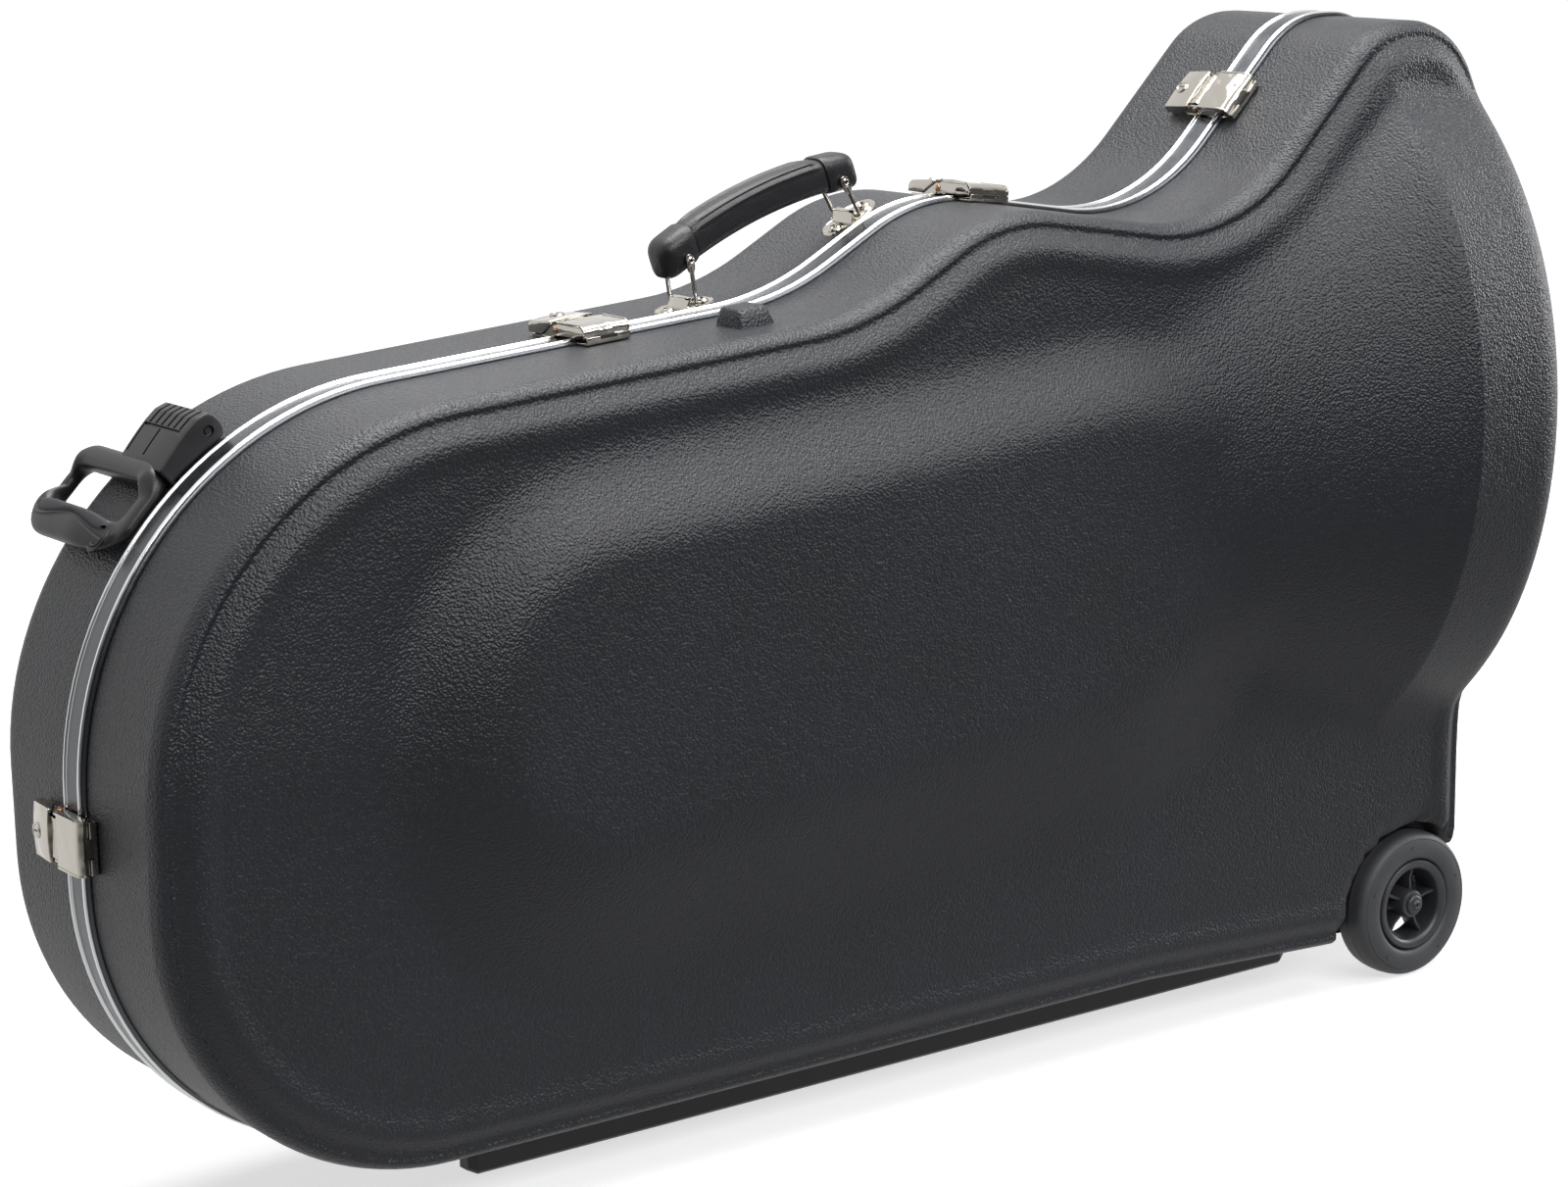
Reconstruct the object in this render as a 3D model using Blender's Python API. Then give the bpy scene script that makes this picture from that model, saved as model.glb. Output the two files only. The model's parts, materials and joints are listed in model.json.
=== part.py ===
# Hard tuba case that stands on two runners and two wheels, closed.
# The halves part along the plane y = 0: the back half carries the handles and
# the front half is the lid, hinged between the runners under the case.
# Metres, +Z up, +X toward the bell end. Sizes named FROM_END are measured from
# the bell end along X, other X sizes from the left end, and heights from the floor.

import math

import bmesh
import bpy
from mathutils import Matrix, Vector

# Outline of the chrome seam, seen from the front
CASE_LENGTH = 0.9785
SEAM_BOTTOM_Z = 0.038
BOTTOM_BEND_FROM_END = 0.2805
BELL_BOTTOM_Z = 0.024
LEFT_TOP_Z = 0.460
SHOULDER_FROM_END = 0.5075
SHOULDER_Z = 0.494
HUMP_FROM_END = 0.403
HUMP_Z = 0.550
WAIST_FROM_END = 0.2185
WAIST_Z = 0.5195
BELL_TOP_Z = 0.643
LOWER_LEFT_RADIUS = 0.178
UPPER_LEFT_RADIUS = 0.210
SHOULDER_RADIUS = 0.187
HUMP_RADIUS = 0.120
WAIST_RADIUS = 0.130
BELL_LEFT_REACH = 0.02775
BELL_TOP_RUN = 0.00725
BELL_RIGHT_RADIUS = 0.060
BELL_LOWER_RADIUS = 0.045

# Moulded shells
WALL = 0.004
SEAM_PROUD = 0.002
LEDGE_Y = 0.091
BELL_HALF_DEPTH = 0.182
BELL_HALF_HEIGHT = 0.240
BELL_CENTRE_Z = 0.391
BELL_EDGE_RADIUS = 0.028
THROAT_FROM_END = 0.3785
THROAT_HALF_DEPTH = 0.118
NECK_FROM_END = 0.7485
NECK_HALF_HEIGHT = 0.085
NECK_CENTRE_Z = 0.295
PLATEAU_Y = 0.123
PLATEAU_FROM_END = 0.6935
PLATEAU_Z = 0.300
PLATEAU_STOP_FROM_END = 0.3385
PLATEAU_END_Z = 0.332
PLATEAU_RADIUS = 0.078
PLATEAU_SLOPE = 0.070
LUG_FROM_END = 0.5635
LUG_LENGTH = 0.034
LUG_HEIGHT = 0.005
LUG_FROM_Y = 0.028
LUG_TO_Y = 0.066

# Frame profile round the seam
GAP = 0.0003
BACK_EDGE_Y = 0.0046
FRONT_EDGE_Y = 0.0086
FLANGE = 0.0015
BAND_HEIGHT = 0.002
RIDGE_HEIGHT = 0.0033
SEAM_MEET_Y = 0.00585
BACK_BAND_Y = 0.0076
BACK_RIDGE_FROM_Y = 0.0086
BACK_RIDGE_TO_Y = 0.0104
BACK_LAP_Y = 0.0108
BACK_FLANGE_WIDTH = 0.0044
FRONT_RIDGE_RISE = 0.0012
FRONT_RIDGE_TO_Y = 0.0092
FRONT_STEP_Y = 0.0108
FRONT_LAP_Y = 0.0124
FRONT_FLANGE_WIDTH = 0.0024

# Padding and cushions inside
PADDING = 0.006
PADDING_TO_Y = 0.058
CUSHION_ROUND = 0.012
BOW_CUSHION_X = 0.088
BOW_CUSHION_Z = 0.245
BOW_CUSHION_LENGTH = 0.070
BOW_CUSHION_HEIGHT = 0.120
BELL_CUSHION_FROM_END = 0.2035
BELL_CUSHION_Z = 0.108
BELL_CUSHION_LENGTH = 0.130
BELL_CUSHION_HEIGHT = 0.066
CUSHION_TOP_Y = 0.045

# Runners and hinges
RUNNER_Y = 0.009
RUNNER_WIDTH = 0.012
RUNNER_FROM_X = 0.228
RUNNER_STOP_FROM_END = 0.0955
HINGE_Z = 0.004
HINGE_1_X = 0.260
HINGE_2_FROM_END = 0.2485
HINGE_LENGTH = 0.050
HINGE_KNUCKLES = 5
KNUCKLE_RADIUS = 0.0034
LEAF_THICKNESS = 0.0013
LEAF_TOP_Z = 0.029
HINGE_PIN_RADIUS = 0.0015

# Wheels
WHEEL_RADIUS = 0.050
WHEEL_FROM_END = 0.050
WHEEL_WIDTH = 0.028
WHEEL_FACE_Y = 0.098
TYRE_THICKNESS = 0.019
RIM_THICKNESS = 0.0065
HUB_RADIUS = 0.010
SPOKES = 5
SPOKE_THICKNESS = 0.0022
AXLE_RADIUS = 0.004
POCKET_CLEARANCE = 0.011
POCKET_DEPTH_CLEARANCE = 0.004
CAP_RADIUS = 0.0065
BRACKET_RADIUS = 0.021

# Latches
LATCH_1_FROM_END = 0.642
LATCH_2_FROM_END = 0.3605
LATCH_3_FROM_END = 0.1455
LATCH_LEFT_Z = 0.242
LATCH_HALF_WIDTH = 0.0155
LATCH_REAR_Y = 0.038
LATCH_FRONT_Y = 0.0226
LATCH_TOP = 0.011
LATCH_SHEET = 0.0013
LATCH_PIN_Y = 0.008
LATCH_PIN_HEIGHT = 0.0065
LATCH_PIN_RADIUS = 0.0015
LOCK_RADIUS = 0.004
LOCK_Y = 0.0295
TONGUE_HALF_WIDTH = 0.0085

# Carrying handle
HANDLE_Y = 0.027
BAIL_1_FROM_END = 0.554
BAIL_2_FROM_END = 0.430
BAIL_1_LENGTH = 0.0268
BAIL_2_LENGTH = 0.0246
BAIL_1_LEAN = 9.3
BAIL_2_LEAN = 29.2
BAIL_WIRE = 0.0014
BAIL_PIVOT_HEIGHT = 0.0036
EYE_RADIUS = 0.0036
PLATE_LENGTH = 0.040
PLATE_WIDTH = 0.028
GRIP_WIDTH = 0.024
GRIP_OVERHANG = 0.015
GRIP_RISE = 0.009
GRIP_THICKNESS = 0.021
CAP_THICKNESS = 0.024
CAP_LENGTH = 0.024
HANDLE_PIN_RADIUS = 0.0015

# Tow handle
TOW_NEAR_Y = 0.0125
TOW_PANEL_WIDTH = 0.050
TOW_LOOP_WIDTH = 0.0995
TOW_ANGLE = 120.8
TOW_PIN_HEIGHT = 0.0114
TOW_PIN_RADIUS = 0.002
TOW_PANEL_LENGTH = 0.036
TOW_LENGTH = 0.084
TOW_THICKNESS = 0.0135
TOW_BAR = 0.014
TOW_GRIP = 0.019
TOW_RIBS = 7
TOW_BASE = 0.0022

# Edge of the moulded face: how far in from the seam, and how far over the ledge
EDGE_PROFILE = ((0.0, -0.010), (0.002, -0.004), (0.006, 0.0), (0.010, -0.0005), (0.015, 0.003),
                (0.023, 0.0075), (0.036, 0.006))

# Counts of samples and of steps round a turned piece
LEFT_STEPS = 8
RIGHT_STEPS = 5
ROWS = 8
ROUND_STEPS = 24

# Sizes that follow from the ones above, with X from the left end
FACE_INSET = SEAM_PROUD + EDGE_PROFILE[-1][0]
BOTTOM_BEND_X = CASE_LENGTH - BOTTOM_BEND_FROM_END
SHOULDER_X = CASE_LENGTH - SHOULDER_FROM_END
HUMP_X = CASE_LENGTH - HUMP_FROM_END
WAIST_X = CASE_LENGTH - WAIST_FROM_END
THROAT_X = CASE_LENGTH - THROAT_FROM_END
NECK_X = CASE_LENGTH - NECK_FROM_END
PLATEAU_X = CASE_LENGTH - PLATEAU_FROM_END
PLATEAU_END_X = CASE_LENGTH - PLATEAU_STOP_FROM_END
LUG_X = CASE_LENGTH - LUG_FROM_END
BELL_CUSHION_X = CASE_LENGTH - BELL_CUSHION_FROM_END
BELL_FLAT = BELL_LEFT_REACH + BELL_TOP_RUN + BELL_RIGHT_RADIUS
BELL_SLOPE = math.atan2(BELL_TOP_Z - WAIST_Z, CASE_LENGTH - BELL_FLAT - WAIST_X)
BELL_LEFT_RADIUS = BELL_LEFT_REACH / math.tan(BELL_SLOPE / 2)
RUNNER_TO_X = CASE_LENGTH - RUNNER_STOP_FROM_END
HINGE_X = (HINGE_1_X, CASE_LENGTH - HINGE_2_FROM_END)
LATCH_X = (CASE_LENGTH - LATCH_1_FROM_END, CASE_LENGTH - LATCH_2_FROM_END, CASE_LENGTH - LATCH_3_FROM_END)
BAIL_1_X = CASE_LENGTH - BAIL_1_FROM_END
BAIL_2_X = CASE_LENGTH - BAIL_2_FROM_END
EYE_THICKNESS = 2 * BAIL_WIRE + 0.0002
BAIL_HALF_WIDTH = GRIP_WIDTH / 2 + GAP + EYE_THICKNESS / 2


def clear_scene():
    for item in list(bpy.data.objects):
        bpy.data.objects.remove(item, do_unlink=True)


def make_material(name, colour, roughness, metallic):
    made = bpy.data.materials.new(name)
    made.use_nodes = True
    shader = made.node_tree.nodes["Principled BSDF"]
    shader.inputs["Base Color"].default_value = (*colour, 1.0)
    shader.inputs["Roughness"].default_value = roughness
    shader.inputs["Metallic"].default_value = metallic
    return made


def make_object(name, shape, colour, roughness, metallic, place=None, smooth=40.0):
    verts, faces = shape
    mesh = bpy.data.meshes.new(name)
    mesh.from_pydata([tuple(v) for v in verts], [], faces)
    work = bmesh.new()
    work.from_mesh(mesh)
    bmesh.ops.recalc_face_normals(work, faces=work.faces)
    work.to_mesh(mesh)
    work.free()
    mesh.materials.append(make_material(name, colour, roughness, metallic))
    mesh.shade_smooth()
    mesh.set_sharp_from_angle(angle=math.radians(smooth))
    made = bpy.data.objects.new(name, mesh)
    bpy.context.scene.collection.objects.link(made)
    if place is not None:
        made.matrix_world = place
    return made


def make_cutter(name, shape, place=None):
    made = make_object("cutter_" + name, shape, (0.8, 0.2, 0.2), 0.5, 0.0, place)
    made.hide_render = True
    made.display_type = "WIRE"
    return made


def apply_shape(target, other, operation):
    step = target.modifiers.new(operation.title() + "_" + other.name, "BOOLEAN")
    step.operation = operation
    step.solver = "EXACT"
    step.object = other


def joined(*shapes):
    verts = []
    faces = []
    for part_verts, part_faces in shapes:
        start = len(verts)
        verts += list(part_verts)
        faces += [[start + i for i in face] for face in part_faces]
    return verts, faces


def box(low, high):
    verts = [Vector((x, y, z)) for x in (low[0], high[0]) for y in (low[1], high[1])
             for z in (low[2], high[2])]
    faces = [[0, 1, 3, 2], [4, 6, 7, 5], [0, 4, 5, 1], [2, 3, 7, 6], [0, 2, 6, 4], [1, 5, 7, 3]]
    return verts, faces


def loft(sections, closed=False):
    count = len(sections[0])
    verts = [point for section in sections for point in section]
    faces = []
    last = len(sections) if closed else len(sections) - 1
    for k in range(last):
        here = k * count
        there = ((k + 1) % len(sections)) * count
        for i in range(count):
            j = (i + 1) % count
            faces.append([here + i, here + j, there + j, there + i])
    if not closed:
        faces.append(list(range(count)))
        faces.append([(len(sections) - 1) * count + i for i in range(count)])
    return verts, faces


def extruded(outline, low, high, order="yzx"):
    slots = ["xyz".index(letter) for letter in order]
    sections = []
    for level in (low, high):
        section = []
        for a, b in outline:
            point = [0.0, 0.0, 0.0]
            point[slots[0]] = a
            point[slots[1]] = b
            point[slots[2]] = level
            section.append(Vector(point))
        sections.append(section)
    return loft(sections)


def arc(centre, radius, start, end, steps):
    points = []
    for k in range(steps + 1):
        angle = math.radians(start + (end - start) * k / steps)
        points.append((centre[0] + radius * math.cos(angle), centre[1] + radius * math.sin(angle)))
    return points


def rounded_rectangle(low, high, radius, steps):
    points = []
    points += arc((high[0] - radius, high[1] - radius), radius, 0, 90, steps)
    points += arc((low[0] + radius, high[1] - radius), radius, 90, 180, steps)
    points += arc((low[0] + radius, low[1] + radius), radius, 180, 270, steps)
    points += arc((high[0] - radius, low[1] + radius), radius, 270, 360, steps)
    return points


def turned(profile, steps, ring=False):
    # profile holds (radius, height) pairs and turns about local Z
    sections = []
    for k in range(steps):
        angle = 2 * math.pi * k / steps
        sections.append([(r * math.cos(angle), r * math.sin(angle), h) for r, h in profile])
    if ring:
        return loft([[Vector(p) for p in section] for section in sections], closed=True)
    verts = []
    faces = []
    rings = []
    for i, (r, h) in enumerate(profile):
        if r < 1e-9:
            verts.append(Vector((0.0, 0.0, h)))
            rings.append([len(verts) - 1] * steps)
        else:
            rings.append(list(range(len(verts), len(verts) + steps)))
            verts += [Vector(section[i]) for section in sections]
    for lower, upper in zip(rings, rings[1:]):
        for k in range(steps):
            j = (k + 1) % steps
            face = [lower[k], lower[j], upper[j], upper[k]]
            faces.append(list(dict.fromkeys(face)))
    return verts, faces


def cylinder(radius, low, high, steps=12):
    return turned([(0.0, low), (radius, low), (radius, high), (0.0, high)], steps)


def moved(shape, matrix):
    verts, faces = shape
    return [matrix @ Vector(v) for v in verts], faces


def tube(path, radius, sides):
    # path lies in one plane that holds local X as its normal
    side = Vector((1.0, 0.0, 0.0))
    sections = []
    for k, point in enumerate(path):
        before = path[max(k - 1, 0)]
        after = path[min(k + 1, len(path) - 1)]
        along = (after - before).normalized()
        up = along.cross(side)
        section = []
        for i in range(sides):
            angle = 2 * math.pi * (i + 0.5) / sides
            section.append(point + (side * math.cos(angle) + up * math.sin(angle)) * radius)
        sections.append(section)
    return loft(sections)


def along_y():
    return Matrix.Rotation(math.radians(-90), 4, "X")


def along_x():
    return Matrix.Rotation(math.radians(90), 4, "Y")


def left(x):
    return x - CASE_LENGTH / 2


# Seam outline

def corner_arc(before, corner, after, radius, steps):
    # samples of the arc that rounds one corner of the clockwise outline:
    # each is a point and the normal that points into the case
    entry = (corner - before).normalized()
    leave = (after - corner).normalized()
    turn = entry.x * leave.y - entry.y * leave.x
    side = 1.0 if turn < 0 else -1.0
    angle = entry.angle(leave)
    start = corner - entry * radius * math.tan(angle / 2)
    inward = Vector((entry.y, -entry.x))
    centre = start + inward * radius * side
    samples = []
    for k in range(steps + 1):
        turned_by = -side * angle * k / steps
        normal = Matrix.Rotation(turned_by, 2) @ inward
        samples.append((centre - normal * radius * side, normal))
    return samples


def outline_corners():
    end = CASE_LENGTH
    return [
        (Vector((0.0, SEAM_BOTTOM_Z)), LOWER_LEFT_RADIUS, LEFT_STEPS),
        (Vector((0.0, LEFT_TOP_Z)), UPPER_LEFT_RADIUS, LEFT_STEPS),
        (Vector((SHOULDER_X, SHOULDER_Z)), SHOULDER_RADIUS, 2),
        (Vector((HUMP_X, HUMP_Z)), HUMP_RADIUS, 4),
        (Vector((WAIST_X, WAIST_Z)), WAIST_RADIUS, 5),
        (Vector((end - BELL_FLAT, BELL_TOP_Z)), BELL_LEFT_RADIUS, 3),
        (Vector((end, BELL_TOP_Z)), BELL_RIGHT_RADIUS, RIGHT_STEPS),
        (Vector((end, BELL_BOTTOM_Z)), BELL_LOWER_RADIUS, RIGHT_STEPS),
    ]


def outline_chains():
    # the upper and the lower half of the outline, left to right, with as many
    # samples each, so that straight ladders can cross the face between them
    corners = outline_corners()
    arcs = []
    bend = Vector((BOTTOM_BEND_X, SEAM_BOTTOM_Z))
    for k, (corner, radius, steps) in enumerate(corners):
        before = corners[k - 1][0] if k else bend
        after = corners[k + 1][0] if k + 1 < len(corners) else bend
        arcs.append(corner_arc(before, corner, after, radius, steps))
    fill = {1: 4, 2: 1, 3: 2, 4: 2, 5: 1}
    top = list(arcs[1])
    for k in range(2, 7):
        start = top[-1]
        end = arcs[k][0]
        for i in range(1, fill[k - 1]):
            share = i / fill[k - 1]
            top.append((start[0].lerp(end[0], share), start[1]))
        top += arcs[k]
    slope = (bend - corners[7][0]).normalized()
    slope_normal = Vector((slope.y, -slope.x))
    bottom = list(reversed(arcs[0]))
    middle = []
    for point, normal in top[LEFT_STEPS + 1:len(top) - RIGHT_STEPS - 1]:
        x = point.x + normal.x * FACE_INSET
        if x <= BOTTOM_BEND_X:
            middle.append((Vector((x, SEAM_BOTTOM_Z)), Vector((0.0, 1.0))))
        else:
            x -= slope_normal.x * FACE_INSET
            drop = (x - BOTTOM_BEND_X) * slope.y / slope.x
            middle.append((Vector((x, SEAM_BOTTOM_Z + drop)), slope_normal))
    nearest = min(range(len(middle)), key=lambda i: abs(middle[i][0].x - BOTTOM_BEND_X))
    middle[nearest] = (bend, (slope_normal + Vector((0.0, 1.0))).normalized())
    bottom += middle
    bottom += list(reversed(arcs[7]))
    return top, bottom


def perimeter(top, bottom):
    samples = list(top)
    for share in row_shares()[1:-1]:
        samples.append((top[-1][0].lerp(bottom[-1][0], share), Vector((-1.0, 0.0))))
    samples += list(reversed(bottom))
    for share in row_shares()[1:-1]:
        samples.append((bottom[0][0].lerp(top[0][0], share), Vector((1.0, 0.0))))
    return samples


def row_shares():
    # rows lie closer together near the two edges, where the bell curves most
    return [0.6 * j / ROWS + 0.4 * (0.5 - 0.5 * math.cos(math.pi * j / ROWS))
            for j in range(ROWS + 1)]


def corner_samples(samples):
    # leaves out the samples that lie on a straight run
    kept = []
    for k, (point, normal) in enumerate(samples):
        before = samples[k - 1][0]
        after = samples[(k + 1) % len(samples)][0]
        run = (after - before).normalized()
        if abs((point - before).cross(run)) > 2e-6:
            kept.append((point, normal))
    return kept


TOP, BOTTOM = outline_chains()
SAMPLES = perimeter(TOP, BOTTOM)
PATH = corner_samples(SAMPLES)
# where the flat end of the bell begins
CREASE_X = next(p.x + n.x * FACE_INSET for p, n in TOP
                if p.x > WAIST_X and p.y > BELL_TOP_Z - BELL_LEFT_RADIUS * 0.31)


def at_edge(sample, outward):
    # point of the outline that lies outward from the shell's outer surface
    point, normal = sample
    return point + normal * (SEAM_PROUD - outward)


# Height of the moulded face

def smooth_max(a, b, blend):
    return 0.5 * (a + b + math.sqrt((a - b) ** 2 + blend ** 2))


def clamp(value):
    return min(1.0, max(0.0, value))


def bell_height(x, z):
    u = clamp((x - NECK_X) / (CREASE_X - NECK_X))
    flare = clamp((x - THROAT_X) / (CREASE_X - THROAT_X))
    depth = THROAT_HALF_DEPTH + (BELL_HALF_DEPTH - THROAT_HALF_DEPTH) * flare ** 3
    depth -= (THROAT_HALF_DEPTH - LEDGE_Y) * clamp((THROAT_X - x) / 0.2)
    half = NECK_HALF_HEIGHT + (BELL_HALF_HEIGHT - NECK_HALF_HEIGHT) * u ** 2
    centre = NECK_CENTRE_Z + (BELL_CENTRE_Z - NECK_CENTRE_Z) * u ** 1.2
    inside = 1.0 - ((z - centre) / half) ** 2
    return depth * math.sqrt(max(0.0, inside))


def plateau_share(x, z):
    start = Vector((PLATEAU_X, PLATEAU_Z))
    end = Vector((PLATEAU_END_X, PLATEAU_END_Z))
    run = end - start
    share = clamp((Vector((x, z)) - start).dot(run) / run.length_squared)
    away = Vector((x, z)) - (start + run * share)
    distance = away.length - PLATEAU_RADIUS
    rise = away.y / max(away.length, 1e-6)
    width = PLATEAU_SLOPE * (1.0 - (0.14 if rise > 0 else 0.57) * rise)
    t = 1.0 - clamp(distance / width)
    return t * t * (3.0 - 2.0 * t)


def face_height(x, z, edge, inset, thinner):
    radius = BELL_EDGE_RADIUS - thinner
    reach = max(0.0, radius - max(0.0, inset - thinner))
    drop = radius - math.sqrt(max(0.0, radius ** 2 - reach ** 2))
    height = smooth_max(edge, bell_height(x, z) - thinner - drop, 0.010)
    plateau = PLATEAU_Y - thinner
    return height + max(0.0, plateau - height) * plateau_share(x, z)


def face_volume(edges, thinner, rim, extra):
    # one half of the case as a closed solid: rings along the edge, a grid over the face
    rings = [[(at_edge(s, -edges[0][0]), rim) for s in SAMPLES]]
    for inset, rise in edges:
        ring = []
        for sample in SAMPLES:
            p = at_edge(sample, -inset)
            ring.append((p, face_height(p.x, p.y, LEDGE_Y + rise, inset, thinner)))
        rings.append(ring)
    verts = [(left(p.x), y, p.y) for ring in rings for p, y in ring]
    count = len(SAMPLES)
    faces = []
    for k in range(len(rings) - 1):
        for i in range(count):
            j = (i + 1) % count
            faces.append([k * count + i, k * count + j, (k + 1) * count + j, (k + 1) * count + i])
    base = (len(rings) - 1) * count
    columns = len(TOP) - 1
    index = {}
    for i in range(columns + 1):
        index[i, ROWS] = base + i
        index[columns - i, 0] = base + columns + ROWS + i
    for j in range(1, ROWS):
        index[columns, ROWS - j] = base + columns + j
        index[0, j] = base + 2 * columns + ROWS + 1 + j - 1
    shares = row_shares()
    inner = edges[-1][0]
    for i in range(1, columns):
        low = at_edge(BOTTOM[i], -inner)
        high = at_edge(TOP[i], -inner)
        for j in range(1, ROWS):
            p = low.lerp(high, shares[j])
            y = face_height(p.x, p.y, LEDGE_Y + edges[-1][1] - extra, 1.0, thinner)
            index[i, j] = len(verts)
            verts.append((left(p.x), y, p.y))
    for i in range(columns):
        for j in range(ROWS):
            faces.append([index[i, j], index[i + 1, j], index[i + 1, j + 1], index[i, j + 1]])
    faces.append(list(range(count)))
    return verts, faces


def flipped(shape):
    verts, faces = shape
    return [(v[0], -v[1], v[2]) for v in verts], faces


def wheel_centre():
    return Vector((CASE_LENGTH - WHEEL_FROM_END, WHEEL_RADIUS))


def pocket(radius, depth):
    centre = wheel_centre() + Vector((-0.003, -0.004))
    turn = Matrix.Translation((left(centre.x), 0.0, centre.y)) @ along_y()
    return moved(cylinder(radius, depth, BELL_HALF_DEPTH, 32), turn)


def make_shell(name, side, edge):
    outer = face_volume(EDGE_PROFILE, 0.0, edge, 0.001)
    inner_edges = ((WALL, -0.014), (WALL + 0.006, -0.006),
                   (EDGE_PROFILE[-1][0], EDGE_PROFILE[-1][1] - WALL))
    inner = face_volume(inner_edges, WALL, edge - 0.006, 0.001)
    wall_y = WHEEL_FACE_Y - WHEEL_WIDTH - POCKET_DEPTH_CLEARANCE
    radius = WHEEL_RADIUS + POCKET_CLEARANCE
    hole = pocket(radius, wall_y)
    thick = pocket(radius + WALL, wall_y - WALL)
    if side < 0:
        outer, inner, hole, thick = (flipped(s) for s in (outer, inner, hole, thick))
    shell = make_object(name, outer, (0.045, 0.046, 0.050), 0.45, 0.0)
    if side < 0:
        apply_shape(shell, make_cutter("lug", lug_shape()), "UNION")
    apply_shape(shell, make_cutter(name + "_pocket", hole), "DIFFERENCE")
    hollow = make_cutter(name + "_hollow", inner)
    apply_shape(hollow, make_cutter(name + "_pocket_wall", thick), "DIFFERENCE")
    apply_shape(shell, hollow, "DIFFERENCE")


def lug_shape():
    # small moulded lug on the lid's upper wall
    origin, tangent, normal = seat(LUG_X, LUG_LENGTH / 2)
    place = seat_matrix(origin, tangent, normal, 0.0)
    half = LUG_LENGTH / 2
    low = [(-half, -LUG_FROM_Y), (half, -LUG_FROM_Y), (half, -LUG_TO_Y), (-half, -LUG_TO_Y)]
    high = [(-half * 0.6, -LUG_FROM_Y - 0.004), (half * 0.6, -LUG_FROM_Y - 0.004),
            (half * 0.6, -LUG_TO_Y), (-half * 0.6, -LUG_TO_Y)]
    sections = [[Vector((a, b, -0.002)) for a, b in low], [Vector((a, b, LUG_HEIGHT)) for a, b in high]]
    return moved(loft(sections), place)


# Seats on the seam

def surface_point(key, value):
    # walks the shell's surface from the lower left over the top and returns the
    # segment and the share where the coordinate is first reached
    walk = [BOTTOM[0]] + list(TOP)
    points = [at_edge(sample, 0.0) for sample in walk]
    for k in range(len(points) - 1):
        a = points[k][key]
        b = points[k + 1][key]
        if b > a and a <= value <= b:
            return points, k, (value - a) / (b - a)
    return points, len(points) - 2, 1.0


def walk_from(points, k, share, distance):
    here = points[k].lerp(points[k + 1], share)
    while True:
        target = points[k + 1] if distance > 0 else points[k]
        step = (target - here).length
        ended = k + 2 >= len(points) if distance > 0 else k == 0
        if step >= abs(distance) or ended:
            return here + (target - here).normalized() * abs(distance), k
        here = target
        distance -= math.copysign(step, distance)
        k += 1 if distance > 0 else -1


def seat(value, half, key=0):
    # plane that rests on the shell's surface over a span of two halves
    points, k, share = surface_point(key, value)
    middle = points[k].lerp(points[k + 1], share)
    low, first = walk_from(points, k, share, -half)
    high, last = walk_from(points, k, share, half)
    tangent = (high - low).normalized()
    normal = Vector((-tangent.y, tangent.x))
    tops = [(p - low).dot(normal) for p in points[first + 1:last + 1]] + [0.0]
    origin = low + tangent * (middle - low).dot(tangent) + normal * max(tops)
    return origin, tangent, normal


def seat_matrix(origin, tangent, normal, y):
    place = Matrix.Identity(4)
    place.col[0] = (tangent.x, 0.0, tangent.y, 0.0)
    place.col[1] = (0.0, 1.0, 0.0, 0.0)
    place.col[2] = (normal.x, 0.0, normal.y, 0.0)
    place.col[3] = (left(origin.x), y, origin.y, 1.0)
    return place


# Frame profiles and padding

def swept(section):
    # section holds (outward, y) pairs, carried round the seam
    sections = []
    for sample in PATH:
        ring = []
        for outward, y in section:
            p = at_edge(sample, outward)
            ring.append(Vector((left(p.x), y, p.y)))
        sections.append(ring)
    return loft(sections, closed=True)


def make_frames():
    under = -WALL - GAP
    floor = under - FLANGE
    meet = -SEAM_MEET_Y + GAP / 2
    flange = BACK_EDGE_Y + BACK_FLANGE_WIDTH
    back = [(BAND_HEIGHT, meet), (BAND_HEIGHT, BACK_BAND_Y), (RIDGE_HEIGHT, BACK_RIDGE_FROM_Y),
            (RIDGE_HEIGHT, BACK_RIDGE_TO_Y), (GAP, BACK_LAP_Y), (GAP, BACK_EDGE_Y - GAP),
            (under, BACK_EDGE_Y - GAP), (under, flange), (floor, flange), (floor, meet)]
    make_object("back_frame", swept(back), (0.55, 0.56, 0.58), 0.25, 1.0)
    meet = -SEAM_MEET_Y - GAP / 2
    flange = -FRONT_EDGE_Y - FRONT_FLANGE_WIDTH
    front = [(BAND_HEIGHT, meet), (RIDGE_HEIGHT, meet - FRONT_RIDGE_RISE), (RIDGE_HEIGHT, -FRONT_RIDGE_TO_Y),
             (BAND_HEIGHT, -FRONT_STEP_Y), (GAP, -FRONT_LAP_Y),
             (GAP, -FRONT_EDGE_Y + GAP), (under, -FRONT_EDGE_Y + GAP),
             (under, flange), (floor, flange), (floor, meet)]
    make_object("front_frame", swept(front), (0.60, 0.61, 0.63), 0.20, 1.0)


def make_padding(name, side, start):
    near = -WALL - GAP
    far = near - PADDING
    section = [(near, start), (near, PADDING_TO_Y), (far, PADDING_TO_Y - 0.004), (far, start + 0.004)]
    shape = swept(section)
    if side < 0:
        shape = flipped(shape)
    make_object(name, shape, (0.015, 0.015, 0.017), 0.95, 0.0)


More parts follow.
